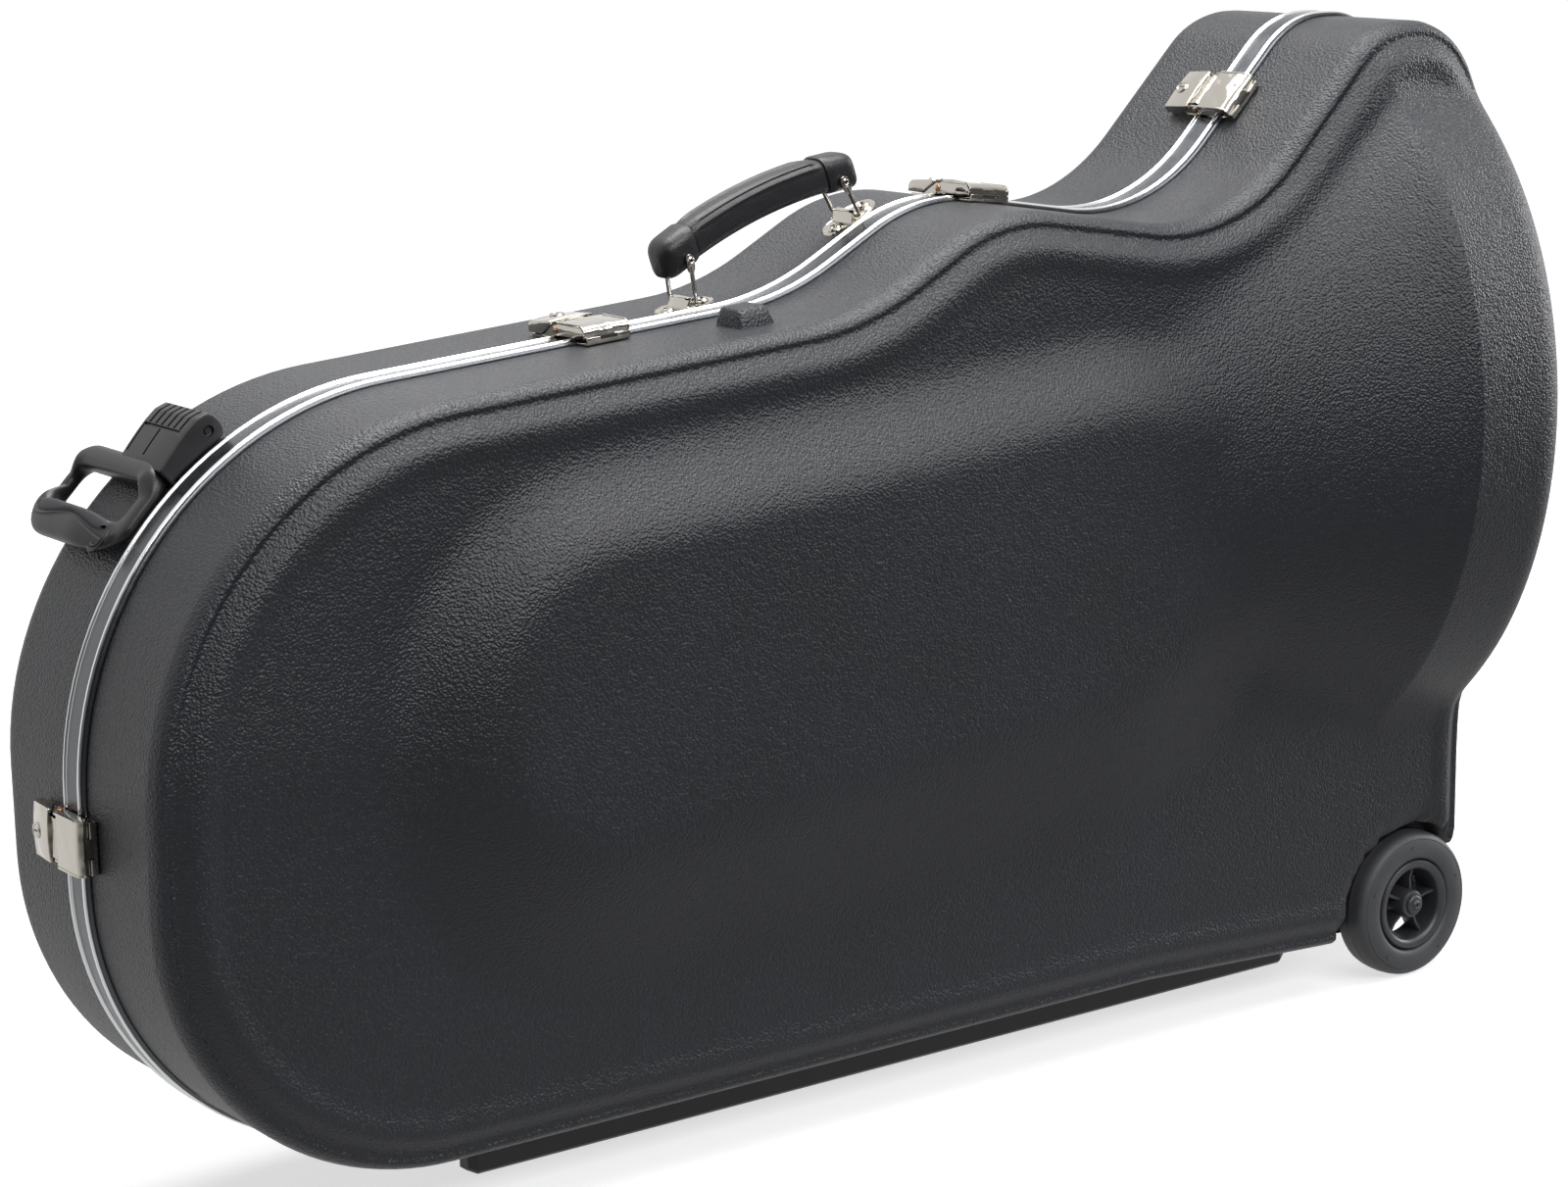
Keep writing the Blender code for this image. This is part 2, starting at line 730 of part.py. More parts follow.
def floor_under(x, z, length, height):
    # lowest inner face height over a footprint
    lowest = 1.0
    for i in range(7):
        for j in range(7):
            px = x + length * (i / 6 - 0.5)
            pz = z + height * (j / 6 - 0.5)
            edge = LEDGE_Y + EDGE_PROFILE[-1][1] - WALL - 0.001
            lowest = min(lowest, face_height(px, pz, edge, 1.0, WALL))
    return lowest


def make_cushion(name, x, z, length, height):
    # foam block with drawn-in sides and a crowned top
    floor = floor_under(x, z, length, height) - GAP - 0.0002
    depth = floor - CUSHION_TOP_Y
    levels = ((0.003, 0.0), (0.0, 0.12), (0.002, 0.50), (0.0, 0.80), (0.004, 0.93), (0.016, 1.0))
    sections = []
    for inset, share in levels:
        low = (-length / 2 + inset, -height / 2 + inset)
        high = (length / 2 - inset, height / 2 - inset)
        outline = rounded_rectangle(low, high, CUSHION_ROUND, 3)
        sections.append([Vector((a, floor - depth * share, b)) for a, b in outline])
    place = Matrix.Translation((left(x), 0.0, z))
    make_object(name, loft(sections), (0.02, 0.02, 0.022), 0.95, 0.0, place)


# Runners and hinges

def bottom_z(x):
    # height of the shell's outer surface over the floor, along the bottom
    points = [at_edge(sample, 0.0) for sample in BOTTOM]
    for a, b in zip(points, points[1:]):
        if a.x <= x <= b.x:
            return a.y + (b.y - a.y) * (x - a.x) / (b.x - a.x)
    return points[-1].y


def make_runner(name, side):
    outer = RUNNER_Y + RUNNER_WIDTH
    step = max(FRONT_LAP_Y, BACK_LAP_Y) + GAP
    ends = 0.006
    stops = [RUNNER_FROM_X, RUNNER_FROM_X + ends]
    stops += [at_edge(s, 0.0).x for s in BOTTOM if abs(s[0].x - BOTTOM_BEND_X) < 1e-9]
    stops += [RUNNER_TO_X - ends, RUNNER_TO_X]
    sections = []
    for x in stops:
        pinch = 0.003 if x in (RUNNER_FROM_X, RUNNER_TO_X) else 0.0
        top = bottom_z(x) - GAP
        under = top - RIDGE_HEIGHT - GAP
        outline = [(RUNNER_Y, pinch), (outer - 0.002 - pinch, pinch), (outer - pinch, 0.002 + pinch),
                   (outer - pinch, top), (step, top), (step, under), (RUNNER_Y, under)]
        sections.append([Vector((left(x), y, z)) for y, z in outline])
    shape = loft(sections)
    if side < 0:
        shape = flipped(shape)
    make_object(name, shape, (0.02, 0.02, 0.021), 0.55, 0.0)


def leaf_shape(side, own):
    # plate on the runner's inner face, webs and knuckles at its own stations
    outer = RUNNER_Y - GAP
    inner = outer - LEAF_THICKNESS
    half = HINGE_LENGTH / 2
    plate = [(inner, HINGE_Z - 0.0013), (outer, HINGE_Z - 0.0013), (outer, LEAF_TOP_Z), (inner, LEAF_TOP_Z)]
    plate = [(side * y, z) for y, z in plate]
    shapes = [extruded(plate, -half, half)]
    webs = []
    rolls = []
    station = HINGE_LENGTH / HINGE_KNUCKLES
    for k in range(HINGE_KNUCKLES):
        if k % 2 != own:
            continue
        low = -half + k * station + (GAP / 2 if k else 0.0)
        high = -half + (k + 1) * station - (GAP / 2 if k < HINGE_KNUCKLES - 1 else 0.0)
        edges = sorted((side * 0.0022, side * (inner + 0.0006)))
        webs.append(box((low, edges[0], HINGE_Z - 0.0008), (high, edges[1], HINGE_Z + 0.0008)))
        turn = Matrix.Translation((0.0, 0.0, HINGE_Z)) @ along_x()
        rolls.append(moved(cylinder(KNUCKLE_RADIUS, low, high, 8), turn))
    return shapes[0], joined(*webs), joined(*rolls)


def make_hinge(number, x):
    place = Matrix.Translation((left(x), 0.0, 0.0))
    turn = Matrix.Translation((0.0, 0.0, HINGE_Z)) @ along_x()
    half = HINGE_LENGTH / 2
    bore = moved(cylinder(HINGE_PIN_RADIUS + GAP, -half - 0.001, half + 0.001, 8), turn)
    pin = moved(cylinder(HINGE_PIN_RADIUS, -half, half, 8), turn)
    for word, side, own in (("back", 1, 0), ("front", -1, 1)):
        name = f"hinge_{number}_{word}_leaf"
        plate, webs, rolls = leaf_shape(side, own)
        leaf = make_object(name, plate, (0.30, 0.30, 0.31), 0.35, 1.0, place)
        apply_shape(leaf, make_cutter(name + "_webs", webs, place), "UNION")
        apply_shape(leaf, make_cutter(name + "_rolls", rolls, place), "UNION")
        apply_shape(leaf, make_cutter(name + "_bore", bore, place), "DIFFERENCE")
    make_object(f"hinge_{number}_pin", pin, (0.40, 0.40, 0.42), 0.30, 1.0, place)


# Wheels

def make_wheel(word, side):
    centre = wheel_centre()
    spin = along_y() if side > 0 else Matrix.Rotation(math.radians(90), 4, "X")
    place = Matrix.Translation((left(centre.x), 0.0, centre.y)) @ spin
    low = WHEEL_FACE_Y - WHEEL_WIDTH
    high = WHEEL_FACE_Y
    outer = WHEEL_RADIUS
    seat_radius = outer - TYRE_THICKNESS
    tyre = [(seat_radius, low + 0.003), (outer - 0.008, low), (outer - 0.002, low + 0.004),
            (outer, low + 0.009), (outer, high - 0.009), (outer - 0.002, high - 0.004),
            (outer - 0.008, high), (seat_radius, high - 0.002)]
    make_object(word + "_tyre", turned(tyre, ROUND_STEPS, ring=True), (0.020, 0.020, 0.021), 0.6, 0.0, place)
    rim_out = seat_radius - GAP
    rim_in = rim_out - RIM_THICKNESS
    ring = [(rim_in, low + 0.005), (rim_out, low + 0.004), (rim_out, high - 0.003),
            (rim_out - 0.0015, high - 0.0015), (rim_in + 0.001, high - 0.0025), (rim_in, high - 0.005)]
    bore = AXLE_RADIUS + GAP
    hub = [(bore, low), (HUB_RADIUS, low), (HUB_RADIUS, high - 0.004), (HUB_RADIUS - 0.002, high - 0.002),
           (bore, high - 0.002)]
    body = joined(turned(ring, ROUND_STEPS, ring=True), turned(hub, 14, ring=True))
    rim = make_object(word + "_rim", body, (0.030, 0.030, 0.031), 0.5, 0.0, place)
    spokes = []
    for k in range(SPOKES):
        turn = Matrix.Rotation(2 * math.pi * (k + 0.15) / SPOKES, 4, "Z")
        blade = box((HUB_RADIUS - 0.0012, -SPOKE_THICKNESS / 2, low + 0.008),
                    (rim_in + 0.0012, SPOKE_THICKNESS / 2, high - 0.007))
        spokes.append(moved(blade, turn))
    apply_shape(rim, make_cutter(word + "_spokes", joined(*spokes), place), "UNION")
    cap_from = high - 0.002 + GAP
    cap = [(0.0, cap_from), (CAP_RADIUS, cap_from), (CAP_RADIUS, cap_from + 0.0015),
           (CAP_RADIUS - 0.0015, cap_from + 0.0025), (CAP_RADIUS - 0.003, cap_from + 0.0025),
           (CAP_RADIUS - 0.0035, cap_from + 0.0035), (0.0, cap_from + 0.0035)]
    make_object(word + "_cap", turned(cap, 12), (0.045, 0.045, 0.047), 0.45, 0.0, place)
    wall_y = low - POCKET_DEPTH_CLEARANCE
    axle_from = wall_y + GAP
    axle = cylinder(AXLE_RADIUS, axle_from, high - 0.002, 12)
    make_object(word + "_axle", axle, (0.45, 0.45, 0.46), 0.3, 1.0, place)
    foot = wall_y + GAP
    bracket = [(AXLE_RADIUS + GAP, foot), (BRACKET_RADIUS, foot), (BRACKET_RADIUS, foot + 0.0018),
               (HUB_RADIUS, foot + 0.0024), (HUB_RADIUS, low - GAP), (AXLE_RADIUS + GAP, low - GAP)]
    make_object(word + "_bracket", turned(bracket, 16, ring=True), (0.03, 0.03, 0.031), 0.5, 0.0, place)


# Latches: local X along the seam, local Y to the back, local Z out of the case

def latch_seats():
    seats = [seat(x, LATCH_HALF_WIDTH) for x in LATCH_X]
    seats.append(seat(LATCH_LEFT_Z, LATCH_HALF_WIDTH, key=1))
    return seats


def pin_round(radii, centre=(LATCH_PIN_Y, LATCH_PIN_HEIGHT)):
    return [(centre[0] + r * math.cos(math.radians(a)), centre[1] + r * math.sin(math.radians(a)))
            for a, r in radii]


def make_latch(number, place):
    name = f"latch_{number}"
    metal = ((0.62, 0.62, 0.60), 0.18, 1.0)
    half = LATCH_HALF_WIDTH
    sheet = LATCH_SHEET
    pin_y = LATCH_PIN_Y
    pin_z = LATCH_PIN_HEIGHT
    over = RIDGE_HEIGHT + GAP + 0.0002
    side_in = half - sheet
    ear_out = side_in - GAP
    ear_in = ear_out - sheet
    core = ear_in - GAP
    turn = Matrix.Translation((0.0, pin_y, pin_z)) @ along_x()
    plate_from = 0.012
    # base plate with two ears that carry the pin
    corners = [(half - 0.001, plate_from), (half - 0.001, LATCH_REAR_Y - 0.003),
               (half - 0.004, LATCH_REAR_Y), (-half + 0.004, LATCH_REAR_Y),
               (-half + 0.001, LATCH_REAR_Y - 0.003), (-half + 0.001, plate_from)]
    base = make_object(name + "_base", extruded(corners, GAP, GAP + sheet, "xyz"), *metal, place)
    ear = [(0.025, 0.0009), (0.025, 0.003), (plate_from, 0.0094), (pin_y - 0.001, 0.0094),
           (pin_y - 0.0031, 0.0075), (pin_y - 0.0031, 0.0048), (pin_y - 0.002, over),
           (plate_from - 0.0006, over), (plate_from + 0.0004, 0.0024), (plate_from + 0.0004, 0.0009)]
    ears = joined(extruded(ear, ear_in, ear_out), extruded(ear, -ear_out, -ear_in))
    pin = moved(cylinder(LATCH_PIN_RADIUS, -half + 0.0001, half - 0.0001, 8), turn)
    apply_shape(base, make_cutter(name + "_ears", ears, place), "UNION")
    apply_shape(base, make_cutter(name + "_pin", pin, place), "UNION")
    # lever: a core round the pin and a full-width cap behind the ears
    bore = moved(cylinder(LATCH_PIN_RADIUS + GAP, -half - 0.001, half + 0.001, 8), turn)
    low = GAP + sheet + 0.0006
    front = pin_round(((90, LATCH_TOP - 0.0003 - pin_z), (135, 0.0041), (160, 0.0039), (180, 0.0036),
                       (200, 0.0031), (225, 0.0028)))
    outline = [(0.030, low + 0.0008), (0.030, LATCH_TOP - 0.0009), (0.0150, LATCH_TOP - 0.0009),
               (0.0148, LATCH_TOP - 0.0003)] + front
    outline += [(pin_y, over), (0.0116, over), (0.0128, low + 0.0008)]
    lever = make_object(name + "_lever", extruded(outline, -core, core), *metal, pin_place(place))
    lever.data.transform(Matrix.Translation((0.0, -pin_y, -pin_z)))
    cap = [(0.0255, low), (LATCH_REAR_Y, low), (LATCH_REAR_Y, LATCH_TOP - 0.0025),
           (LATCH_REAR_Y - 0.0018, LATCH_TOP - 0.0004), (LATCH_REAR_Y - 0.004, LATCH_TOP),
           (0.0142, LATCH_TOP), (0.0142, LATCH_TOP - 0.0012), (0.0255, LATCH_TOP - 0.0012)]
    cap_shape = extruded(cap, -half + 0.0002, half - 0.0002)
    apply_shape(lever, make_cutter(name + "_cap", cap_shape, place), "UNION")
    apply_shape(lever, make_cutter(name + "_bore", bore, place), "DIFFERENCE")
    lock_place = place @ Matrix.Translation((0.0, LOCK_Y, 0.0))
    lock_from = 0.0060
    hole = cylinder(LOCK_RADIUS + GAP, lock_from - GAP, LATCH_TOP + 0.002, 12)
    apply_shape(lever, make_cutter(name + "_lock_hole", hole, lock_place), "DIFFERENCE")
    face = LATCH_TOP + 0.0004
    barrel = turned([(0.0, lock_from), (LOCK_RADIUS, lock_from), (LOCK_RADIUS, face - 0.0006),
                     (LOCK_RADIUS - 0.0007, face), (0.0, face)], 12)
    lock = make_object(name + "_lock", barrel, (0.50, 0.50, 0.49), 0.25, 1.0, lock_place)
    slot = box((-0.0004, -0.0022, face - 0.0012), (0.0004, 0.0022, face + 0.001))
    apply_shape(lock, make_cutter(name + "_slot", slot, lock_place), "DIFFERENCE")
    make_hasp(name, place, metal, side_in, over, bore)
    make_catch(name, place, metal)


def pin_place(place):
    return place @ Matrix.Translation((0.0, LATCH_PIN_Y, LATCH_PIN_HEIGHT))


def make_hasp(name, place, metal, side_in, over, bore):
    half = LATCH_HALF_WIDTH
    front = -LATCH_FRONT_Y
    pin_y = LATCH_PIN_Y
    top = LATCH_TOP
    rear = pin_y - 0.0053
    # cover: top and front wall in one bent sheet
    sheet = LATCH_SHEET
    cover = [(rear, top - 0.0011), (rear, top + 0.0002), (front + 0.0035, top + 0.0002),
             (front + 0.001, top - 0.0008), (front, top - 0.003), (front, over), (front + sheet, over),
             (front + sheet, top - 0.0032), (front + 0.0037, top - 0.0011)]
    hasp = make_object(name + "_hasp", extruded(cover, -half, half), *metal, pin_place(place))
    hasp.data.transform(Matrix.Translation((0.0, -LATCH_PIN_Y, -LATCH_PIN_HEIGHT)))
    cheek = [(front + 0.0006, over + 0.0002), (pin_y, over + 0.0001)]
    cheek += pin_round(((300, 0.0026), (330, 0.0026), (0, 0.0026), (45, 0.0026), (90, 0.0027)))
    cheek += [(rear - 0.0002, top - 0.0006), (front + 0.0034, top - 0.0006), (front + 0.0006, top - 0.0034)]
    cheeks = joined(extruded(cheek, side_in, half - 0.0001), extruded(cheek, -half + 0.0001, -side_in))
    apply_shape(hasp, make_cutter(name + "_cheeks", cheeks, place), "UNION")
    tongue = box((-TONGUE_HALF_WIDTH, front - 0.0039, over + 0.0001),
                 (TONGUE_HALF_WIDTH, front + 0.0008, 0.0050))
    apply_shape(hasp, make_cutter(name + "_tongue", tongue, place), "UNION")
    apply_shape(hasp, make_cutter(name + "_hasp_bore", bore, place), "DIFFERENCE")


def make_catch(name, place, metal):
    front = -LATCH_FRONT_Y
    width = LATCH_HALF_WIDTH - 0.002
    sheet = LATCH_SHEET
    foot = GAP + sheet
    shape = [(-0.0127, GAP), (front - 0.0018, GAP), (front - 0.0018, 0.0064), (front - 0.0004, 0.0064),
             (front - 0.0004, foot), (-0.0127, foot)]
    catch = make_object(name + "_catch", extruded(shape, -width, width), *metal, place)
    gap = TONGUE_HALF_WIDTH + 0.0007
    notch = box((-gap, front - 0.003, 0.0029), (gap, front, 0.008))
    apply_shape(catch, make_cutter(name + "_notch", notch, place), "DIFFERENCE")


# Carrying handle

def bail_base(x):
    origin, tangent, normal = seat(x, PLATE_LENGTH / 2)
    pivot = origin + normal * BAIL_PIVOT_HEIGHT
    return origin, tangent, normal, pivot


def bail_tip(pivot, length, lean):
    angle = math.radians(lean)
    return pivot + Vector((-math.sin(angle), math.cos(angle))) * length


def make_bail(number, x, length, lean):
    origin, tangent, normal, pivot = bail_base(x)
    tip = bail_tip(pivot, length, lean)
    metal = ((0.60, 0.60, 0.59), 0.2, 1.0)
    place = seat_matrix(origin, tangent, normal, HANDLE_Y)
    oval = [(PLATE_LENGTH / 2 * math.cos(a), PLATE_WIDTH / 2 * math.sin(a))
            for a in (2 * math.pi * k / 16 for k in range(16))]
    plate = make_object(f"handle_plate_{number}", extruded(oval, GAP, GAP + 0.0013, "xyz"), *metal, place)
    hold = BAIL_HALF_WIDTH - BAIL_WIRE - 0.003
    arch = [(-0.0045, 0.0009), (-0.0042, 0.0040)]
    arch += arc((0.0, BAIL_PIVOT_HEIGHT), 0.0034, 150, 30, 4)
    arch += [(0.0042, 0.0040), (0.0045, 0.0009)]
    saddle = extruded(arch, -hold, hold, "xzy")
    rivets = joined(*[moved(cylinder(0.0035, 0.0009, 0.0026, 8), Matrix.Translation((s * 0.0125, 0.0, 0.0)))
                      for s in (-1, 1)])
    bore = moved(cylinder(BAIL_WIRE + GAP, -hold - 0.001, hold + 0.001, 8),
                 Matrix.Translation((0.0, 0.0, BAIL_PIVOT_HEIGHT)) @ along_y())
    apply_shape(plate, make_cutter(f"saddle_{number}", joined(saddle, rivets), place), "UNION")
    apply_shape(plate, make_cutter(f"saddle_bore_{number}", bore, place), "DIFFERENCE")
    # wire bow: local Y across, local Z up the legs, origin on its pivot
    frame = Matrix.Identity(4)
    up = (tip - pivot).normalized()
    frame.col[0] = (up.y, 0.0, -up.x, 0.0)
    frame.col[2] = (up.x, 0.0, up.y, 0.0)
    frame.col[3] = (left(pivot.x), HANDLE_Y, pivot.y, 1.0)
    bend = 0.0028
    w = BAIL_HALF_WIDTH
    flat = arc((w - bend, bend), bend, 0, -90, 3) + arc((-w + bend, bend), bend, 270, 180, 3)
    path = [Vector((0.0, w, length - EYE_RADIUS * 0.6))] + [Vector((0.0, a, b)) for a, b in flat]
    path.append(Vector((0.0, -w, length - EYE_RADIUS * 0.6)))
    bow = make_object(f"handle_bail_{number}", tube(path, BAIL_WIRE, 6), *metal, frame)
    eyes = []
    for s in (-1, 1):
        eye = cylinder(EYE_RADIUS, s * w - EYE_THICKNESS / 2, s * w + EYE_THICKNESS / 2, 10)
        eyes.append(moved(eye, Matrix.Translation((0.0, 0.0, length)) @ along_y()))
    apply_shape(bow, make_cutter(f"eyes_{number}", joined(*eyes), frame), "UNION")
    hole = moved(cylinder(HANDLE_PIN_RADIUS + GAP, -w - 0.004, w + 0.004, 10),
                 Matrix.Translation((0.0, 0.0, length)) @ along_y())
    apply_shape(bow, make_cutter(f"eye_holes_{number}", hole, frame), "DIFFERENCE")
    head_from = w + EYE_THICKNESS / 2 + GAP
    head = 0.003
    profile = [(0.0, -head_from - 0.0011), (head * 0.7, -head_from - 0.0011), (head, -head_from - 0.0006),
               (head, -head_from), (HANDLE_PIN_RADIUS, -head_from), (HANDLE_PIN_RADIUS, head_from),
               (head, head_from), (head, head_from + 0.0006), (head * 0.7, head_from + 0.0011),
               (0.0, head_from + 0.0011)]
    pin_frame = frame @ Matrix.Translation((0.0, 0.0, length)) @ along_y()
    make_object(f"handle_pin_{number}", turned(profile, 10), (0.5, 0.5, 0.49), 0.25, 1.0, pin_frame)
    return tip


def grip_section(s, low, high, width):
    half = width / 2
    side = min(half, (high - low) / 2) * 0.45
    outline = rounded_rectangle((-half, low), (half, high), side, 2)
    return [Vector((s, a, b)) for a, b in outline]


def make_grip(first, second):
    run = second - first
    span = run.length
    along = run.normalized()
    frame = Matrix.Identity(4)
    frame.col[0] = (along.x, 0.0, along.y, 0.0)
    frame.col[2] = (-along.y, 0.0, along.x, 0.0)
    frame.col[3] = (left(first.x), HANDLE_Y, first.y, 1.0)
    middle = span / 2
    reach = middle + GRIP_OVERHANG

    def centre(s):
        return 0.002 + GRIP_RISE * (1.0 - ((s - middle) / reach) ** 2)

    cap_end = CAP_LENGTH - GRIP_OVERHANG
    stations = [(-GRIP_OVERHANG, CAP_THICKNESS * 0.55, GRIP_WIDTH * 0.8),
                (-GRIP_OVERHANG + 0.004, CAP_THICKNESS, GRIP_WIDTH),
                (cap_end, CAP_THICKNESS, GRIP_WIDTH),
                (cap_end + 0.0004, GRIP_THICKNESS, GRIP_WIDTH - 0.002)]
    for k in range(1, 6):
        stations.append((cap_end + (span - 2 * cap_end) * k / 6, GRIP_THICKNESS, GRIP_WIDTH - 0.002))
    stations += [(span - a, t, w) for a, t, w in reversed(stations[:4])]
    sections = []
    for s, thick, width in stations:
        c = centre(s)
        sections.append(grip_section(s, c - thick / 2, c + thick / 2, width))
    grip = make_object("handle_grip", loft(sections), (0.012, 0.012, 0.013), 0.4, 0.0, frame)
    round_hole = moved(cylinder(HANDLE_PIN_RADIUS + GAP, -GRIP_WIDTH, GRIP_WIDTH, 12), along_y())
    play = HANDLE_PIN_RADIUS + 0.0014
    slot = arc((span - 0.0008, 0.0), play, 90, 270, 5) + arc((span + 0.0042, 0.0), play, -90, 90, 5)
    holes = joined(round_hole, extruded(slot, -GRIP_WIDTH, GRIP_WIDTH, "xzy"))
    apply_shape(grip, make_cutter("grip_holes", holes, frame), "DIFFERENCE")


# Tow handle: local X runs down along the case, local Y to the back, local Z out

def tow_frame():
    corners = outline_corners()
    samples = corner_arc(corners[0][0], corners[1][0], corners[2][0], UPPER_LEFT_RADIUS, 2)
    centre = samples[0][0] + samples[0][1] * UPPER_LEFT_RADIUS
    return centre, UPPER_LEFT_RADIUS - SEAM_PROUD


def tow_point(s, h):
    # s along the shell's surface from the pin toward the loop, h out from it
    centre, radius = tow_frame()
    angle = math.radians(TOW_ANGLE) + s / radius
    return centre + Vector((math.cos(angle), math.sin(angle))) * (radius + h)


def tow_matrix():
    pin = tow_point(0.0, TOW_PIN_HEIGHT)
    out = (tow_point(0.0, 1.0) - tow_point(0.0, 0.0)).normalized()
    down = Vector((-out.y, out.x))
    place = Matrix.Identity(4)
    place.col[0] = (down.x, 0.0, down.y, 0.0)
    place.col[1] = (0.0, -1.0, 0.0, 0.0)
    place.col[2] = (out.x, 0.0, out.y, 0.0)
    place.col[3] = (left(pin.x), 0.0, pin.y, 1.0)
    return place, pin, down, out


def tow_local(s, h):
    # same point in the frame of the tow handle
    place, pin, down, out = tow_matrix()
    away = tow_point(s, h) - pin
    return away.dot(down), away.dot(out)


def make_tow():
    place, pin, down, out = tow_matrix()
    rest = TOW_BASE + GAP + 0.0004
    near = -TOW_NEAR_Y
    panel_far = near - TOW_PANEL_WIDTH
    loop_far = near - TOW_LOOP_WIDTH
    # side profile of the moulding, from the knuckle down to the loop's end
    knuckle = TOW_PIN_HEIGHT - rest - 0.0002
    lower = [tow_local(s, rest) for s in (0.012, 0.024)]
    lower += [tow_local(TOW_PANEL_LENGTH - 0.004, rest), tow_local(TOW_PANEL_LENGTH, 0.0012)]
    lower += [tow_local(s, 0.0012) for s in (0.050, 0.064, TOW_LENGTH - 0.010)]
    lower += [tow_local(TOW_LENGTH - 0.003, 0.004), tow_local(TOW_LENGTH, 0.009)]
    upper = [tow_local(TOW_LENGTH - 0.0005, TOW_THICKNESS + 0.001),
             tow_local(TOW_LENGTH - 0.006, TOW_THICKNESS + 0.003)]
    upper += [tow_local(s, TOW_THICKNESS) for s in (0.064, 0.050, TOW_PANEL_LENGTH)]
    upper += [tow_local(0.020, TOW_THICKNESS), tow_local(0.012, TOW_PIN_HEIGHT + 0.0075)]
    upper += [(0.002, 0.0082), (-0.003, 0.0066)]
    profile = [(math.sin(math.radians(a)) * knuckle * -1, -math.cos(math.radians(a)) * knuckle)
               for a in (75, 50, 25, 0)]
    profile += lower + upper
    side = extruded(profile, loop_far, near, "xzy")
    # plan outline: narrow panel at the pin, wide loop beyond it
    end_x = tow_local(TOW_LENGTH, TOW_THICKNESS)[0] + 0.004
    shelf = tow_local(TOW_PANEL_LENGTH - 0.006, 0.0)[0]
    plan = [(-0.02, near), (-0.02, panel_far), (shelf, panel_far)]
    plan += [(shelf + 0.004, panel_far - 0.010)]
    plan += arc((shelf + 0.030, loop_far + 0.018), 0.018, -120, -90, 2)
    plan += arc((end_x - 0.016, loop_far + 0.012), 0.012, -90, -20, 3)
    plan += [(end_x, (near + loop_far) / 2)]
    plan += arc((end_x - 0.022, near - 0.018), 0.018, 20, 90, 3)
    cover = extruded(plan, -0.06, 0.03, "xyz")
    window_from = tow_local(TOW_PANEL_LENGTH + 0.008, 0.0)[0]
    window_to = tow_local(TOW_LENGTH - TOW_GRIP, 0.0)[0]
    window = rounded_rectangle((window_from, loop_far + TOW_BAR), (window_to, near - TOW_BAR), 0.007, 3)
    handle = make_object("tow_handle", side, (0.016, 0.016, 0.017), 0.5, 0.0, place)
    apply_shape(handle, make_cutter("tow_plan", cover, place), "INTERSECT")
    apply_shape(handle, make_cutter("tow_window", extruded(window, -0.06, 0.03, "xyz"), place), "DIFFERENCE")
    # grooves between the ribs over the pin, the T-shaped groove of the panel
    cuts = []
    pitch = TOW_PANEL_WIDTH / TOW_RIBS
    for k in range(1, TOW_RIBS):
        y = near - pitch * k
        cuts.append(box((-0.02, y - 0.0008, 0.0060), (0.0105, y + 0.0008, 0.02)))
    a, b = tow_local(0.0155, TOW_THICKNESS + 0.0005), tow_local(TOW_PANEL_LENGTH - 0.008, TOW_THICKNESS)
    depth = 0.0010
    cross = [(a[0], a[1] - 0.0035 - depth), (a[0] + 0.0012, a[1] - 0.0035 - depth),
             (a[0] + 0.0012, a[1] + 0.01), (a[0], a[1] + 0.01)]
    cuts.append(extruded(cross, panel_far + 0.003, near - 0.003, "xzy"))
    apply_shape(handle, make_cutter("tow_grooves", joined(*cuts), place), "DIFFERENCE")
    bore = moved(cylinder(TOW_PIN_RADIUS + GAP, -0.2, 0.2, 12), along_y())
    lugs, lug_cuts = tow_lugs(near, panel_far)
    apply_shape(handle, make_cutter("tow_slots", lug_cuts, place), "DIFFERENCE")
    apply_shape(handle, make_cutter("tow_bore", bore, place), "DIFFERENCE")
    # bracket: a curved foot on the shell with two lugs that hold the pin
    stops = (-0.006, 0.006, 0.018, TOW_PANEL_LENGTH - 0.008)
    foot = [tow_local(s, GAP) for s in stops] + [tow_local(s, TOW_BASE) for s in reversed(stops)]
    bracket = make_object("tow_bracket", extruded(foot, panel_far + 0.002, near - 0.002, "xzy"),
                          (0.02, 0.02, 0.021), 0.5, 0.0, place)
    apply_shape(bracket, make_cutter("tow_lugs", lugs, place), "UNION")
    apply_shape(bracket, make_cutter("tow_bracket_bore", bore, place), "DIFFERENCE")
    pin_shape = moved(cylinder(TOW_PIN_RADIUS, -panel_far_reach(), -TOW_NEAR_Y - 0.001, 12),
                      Matrix.Rotation(math.radians(90), 4, "X") @ Matrix.Rotation(math.pi, 4, "X"))
    make_object("tow_pin", pin_shape, (0.35, 0.35, 0.36), 0.3, 1.0, place)
    make_tow_pad(place, window_to, loop_far, near)


def panel_far_reach():
    return TOW_NEAR_Y + TOW_PANEL_WIDTH - 0.001


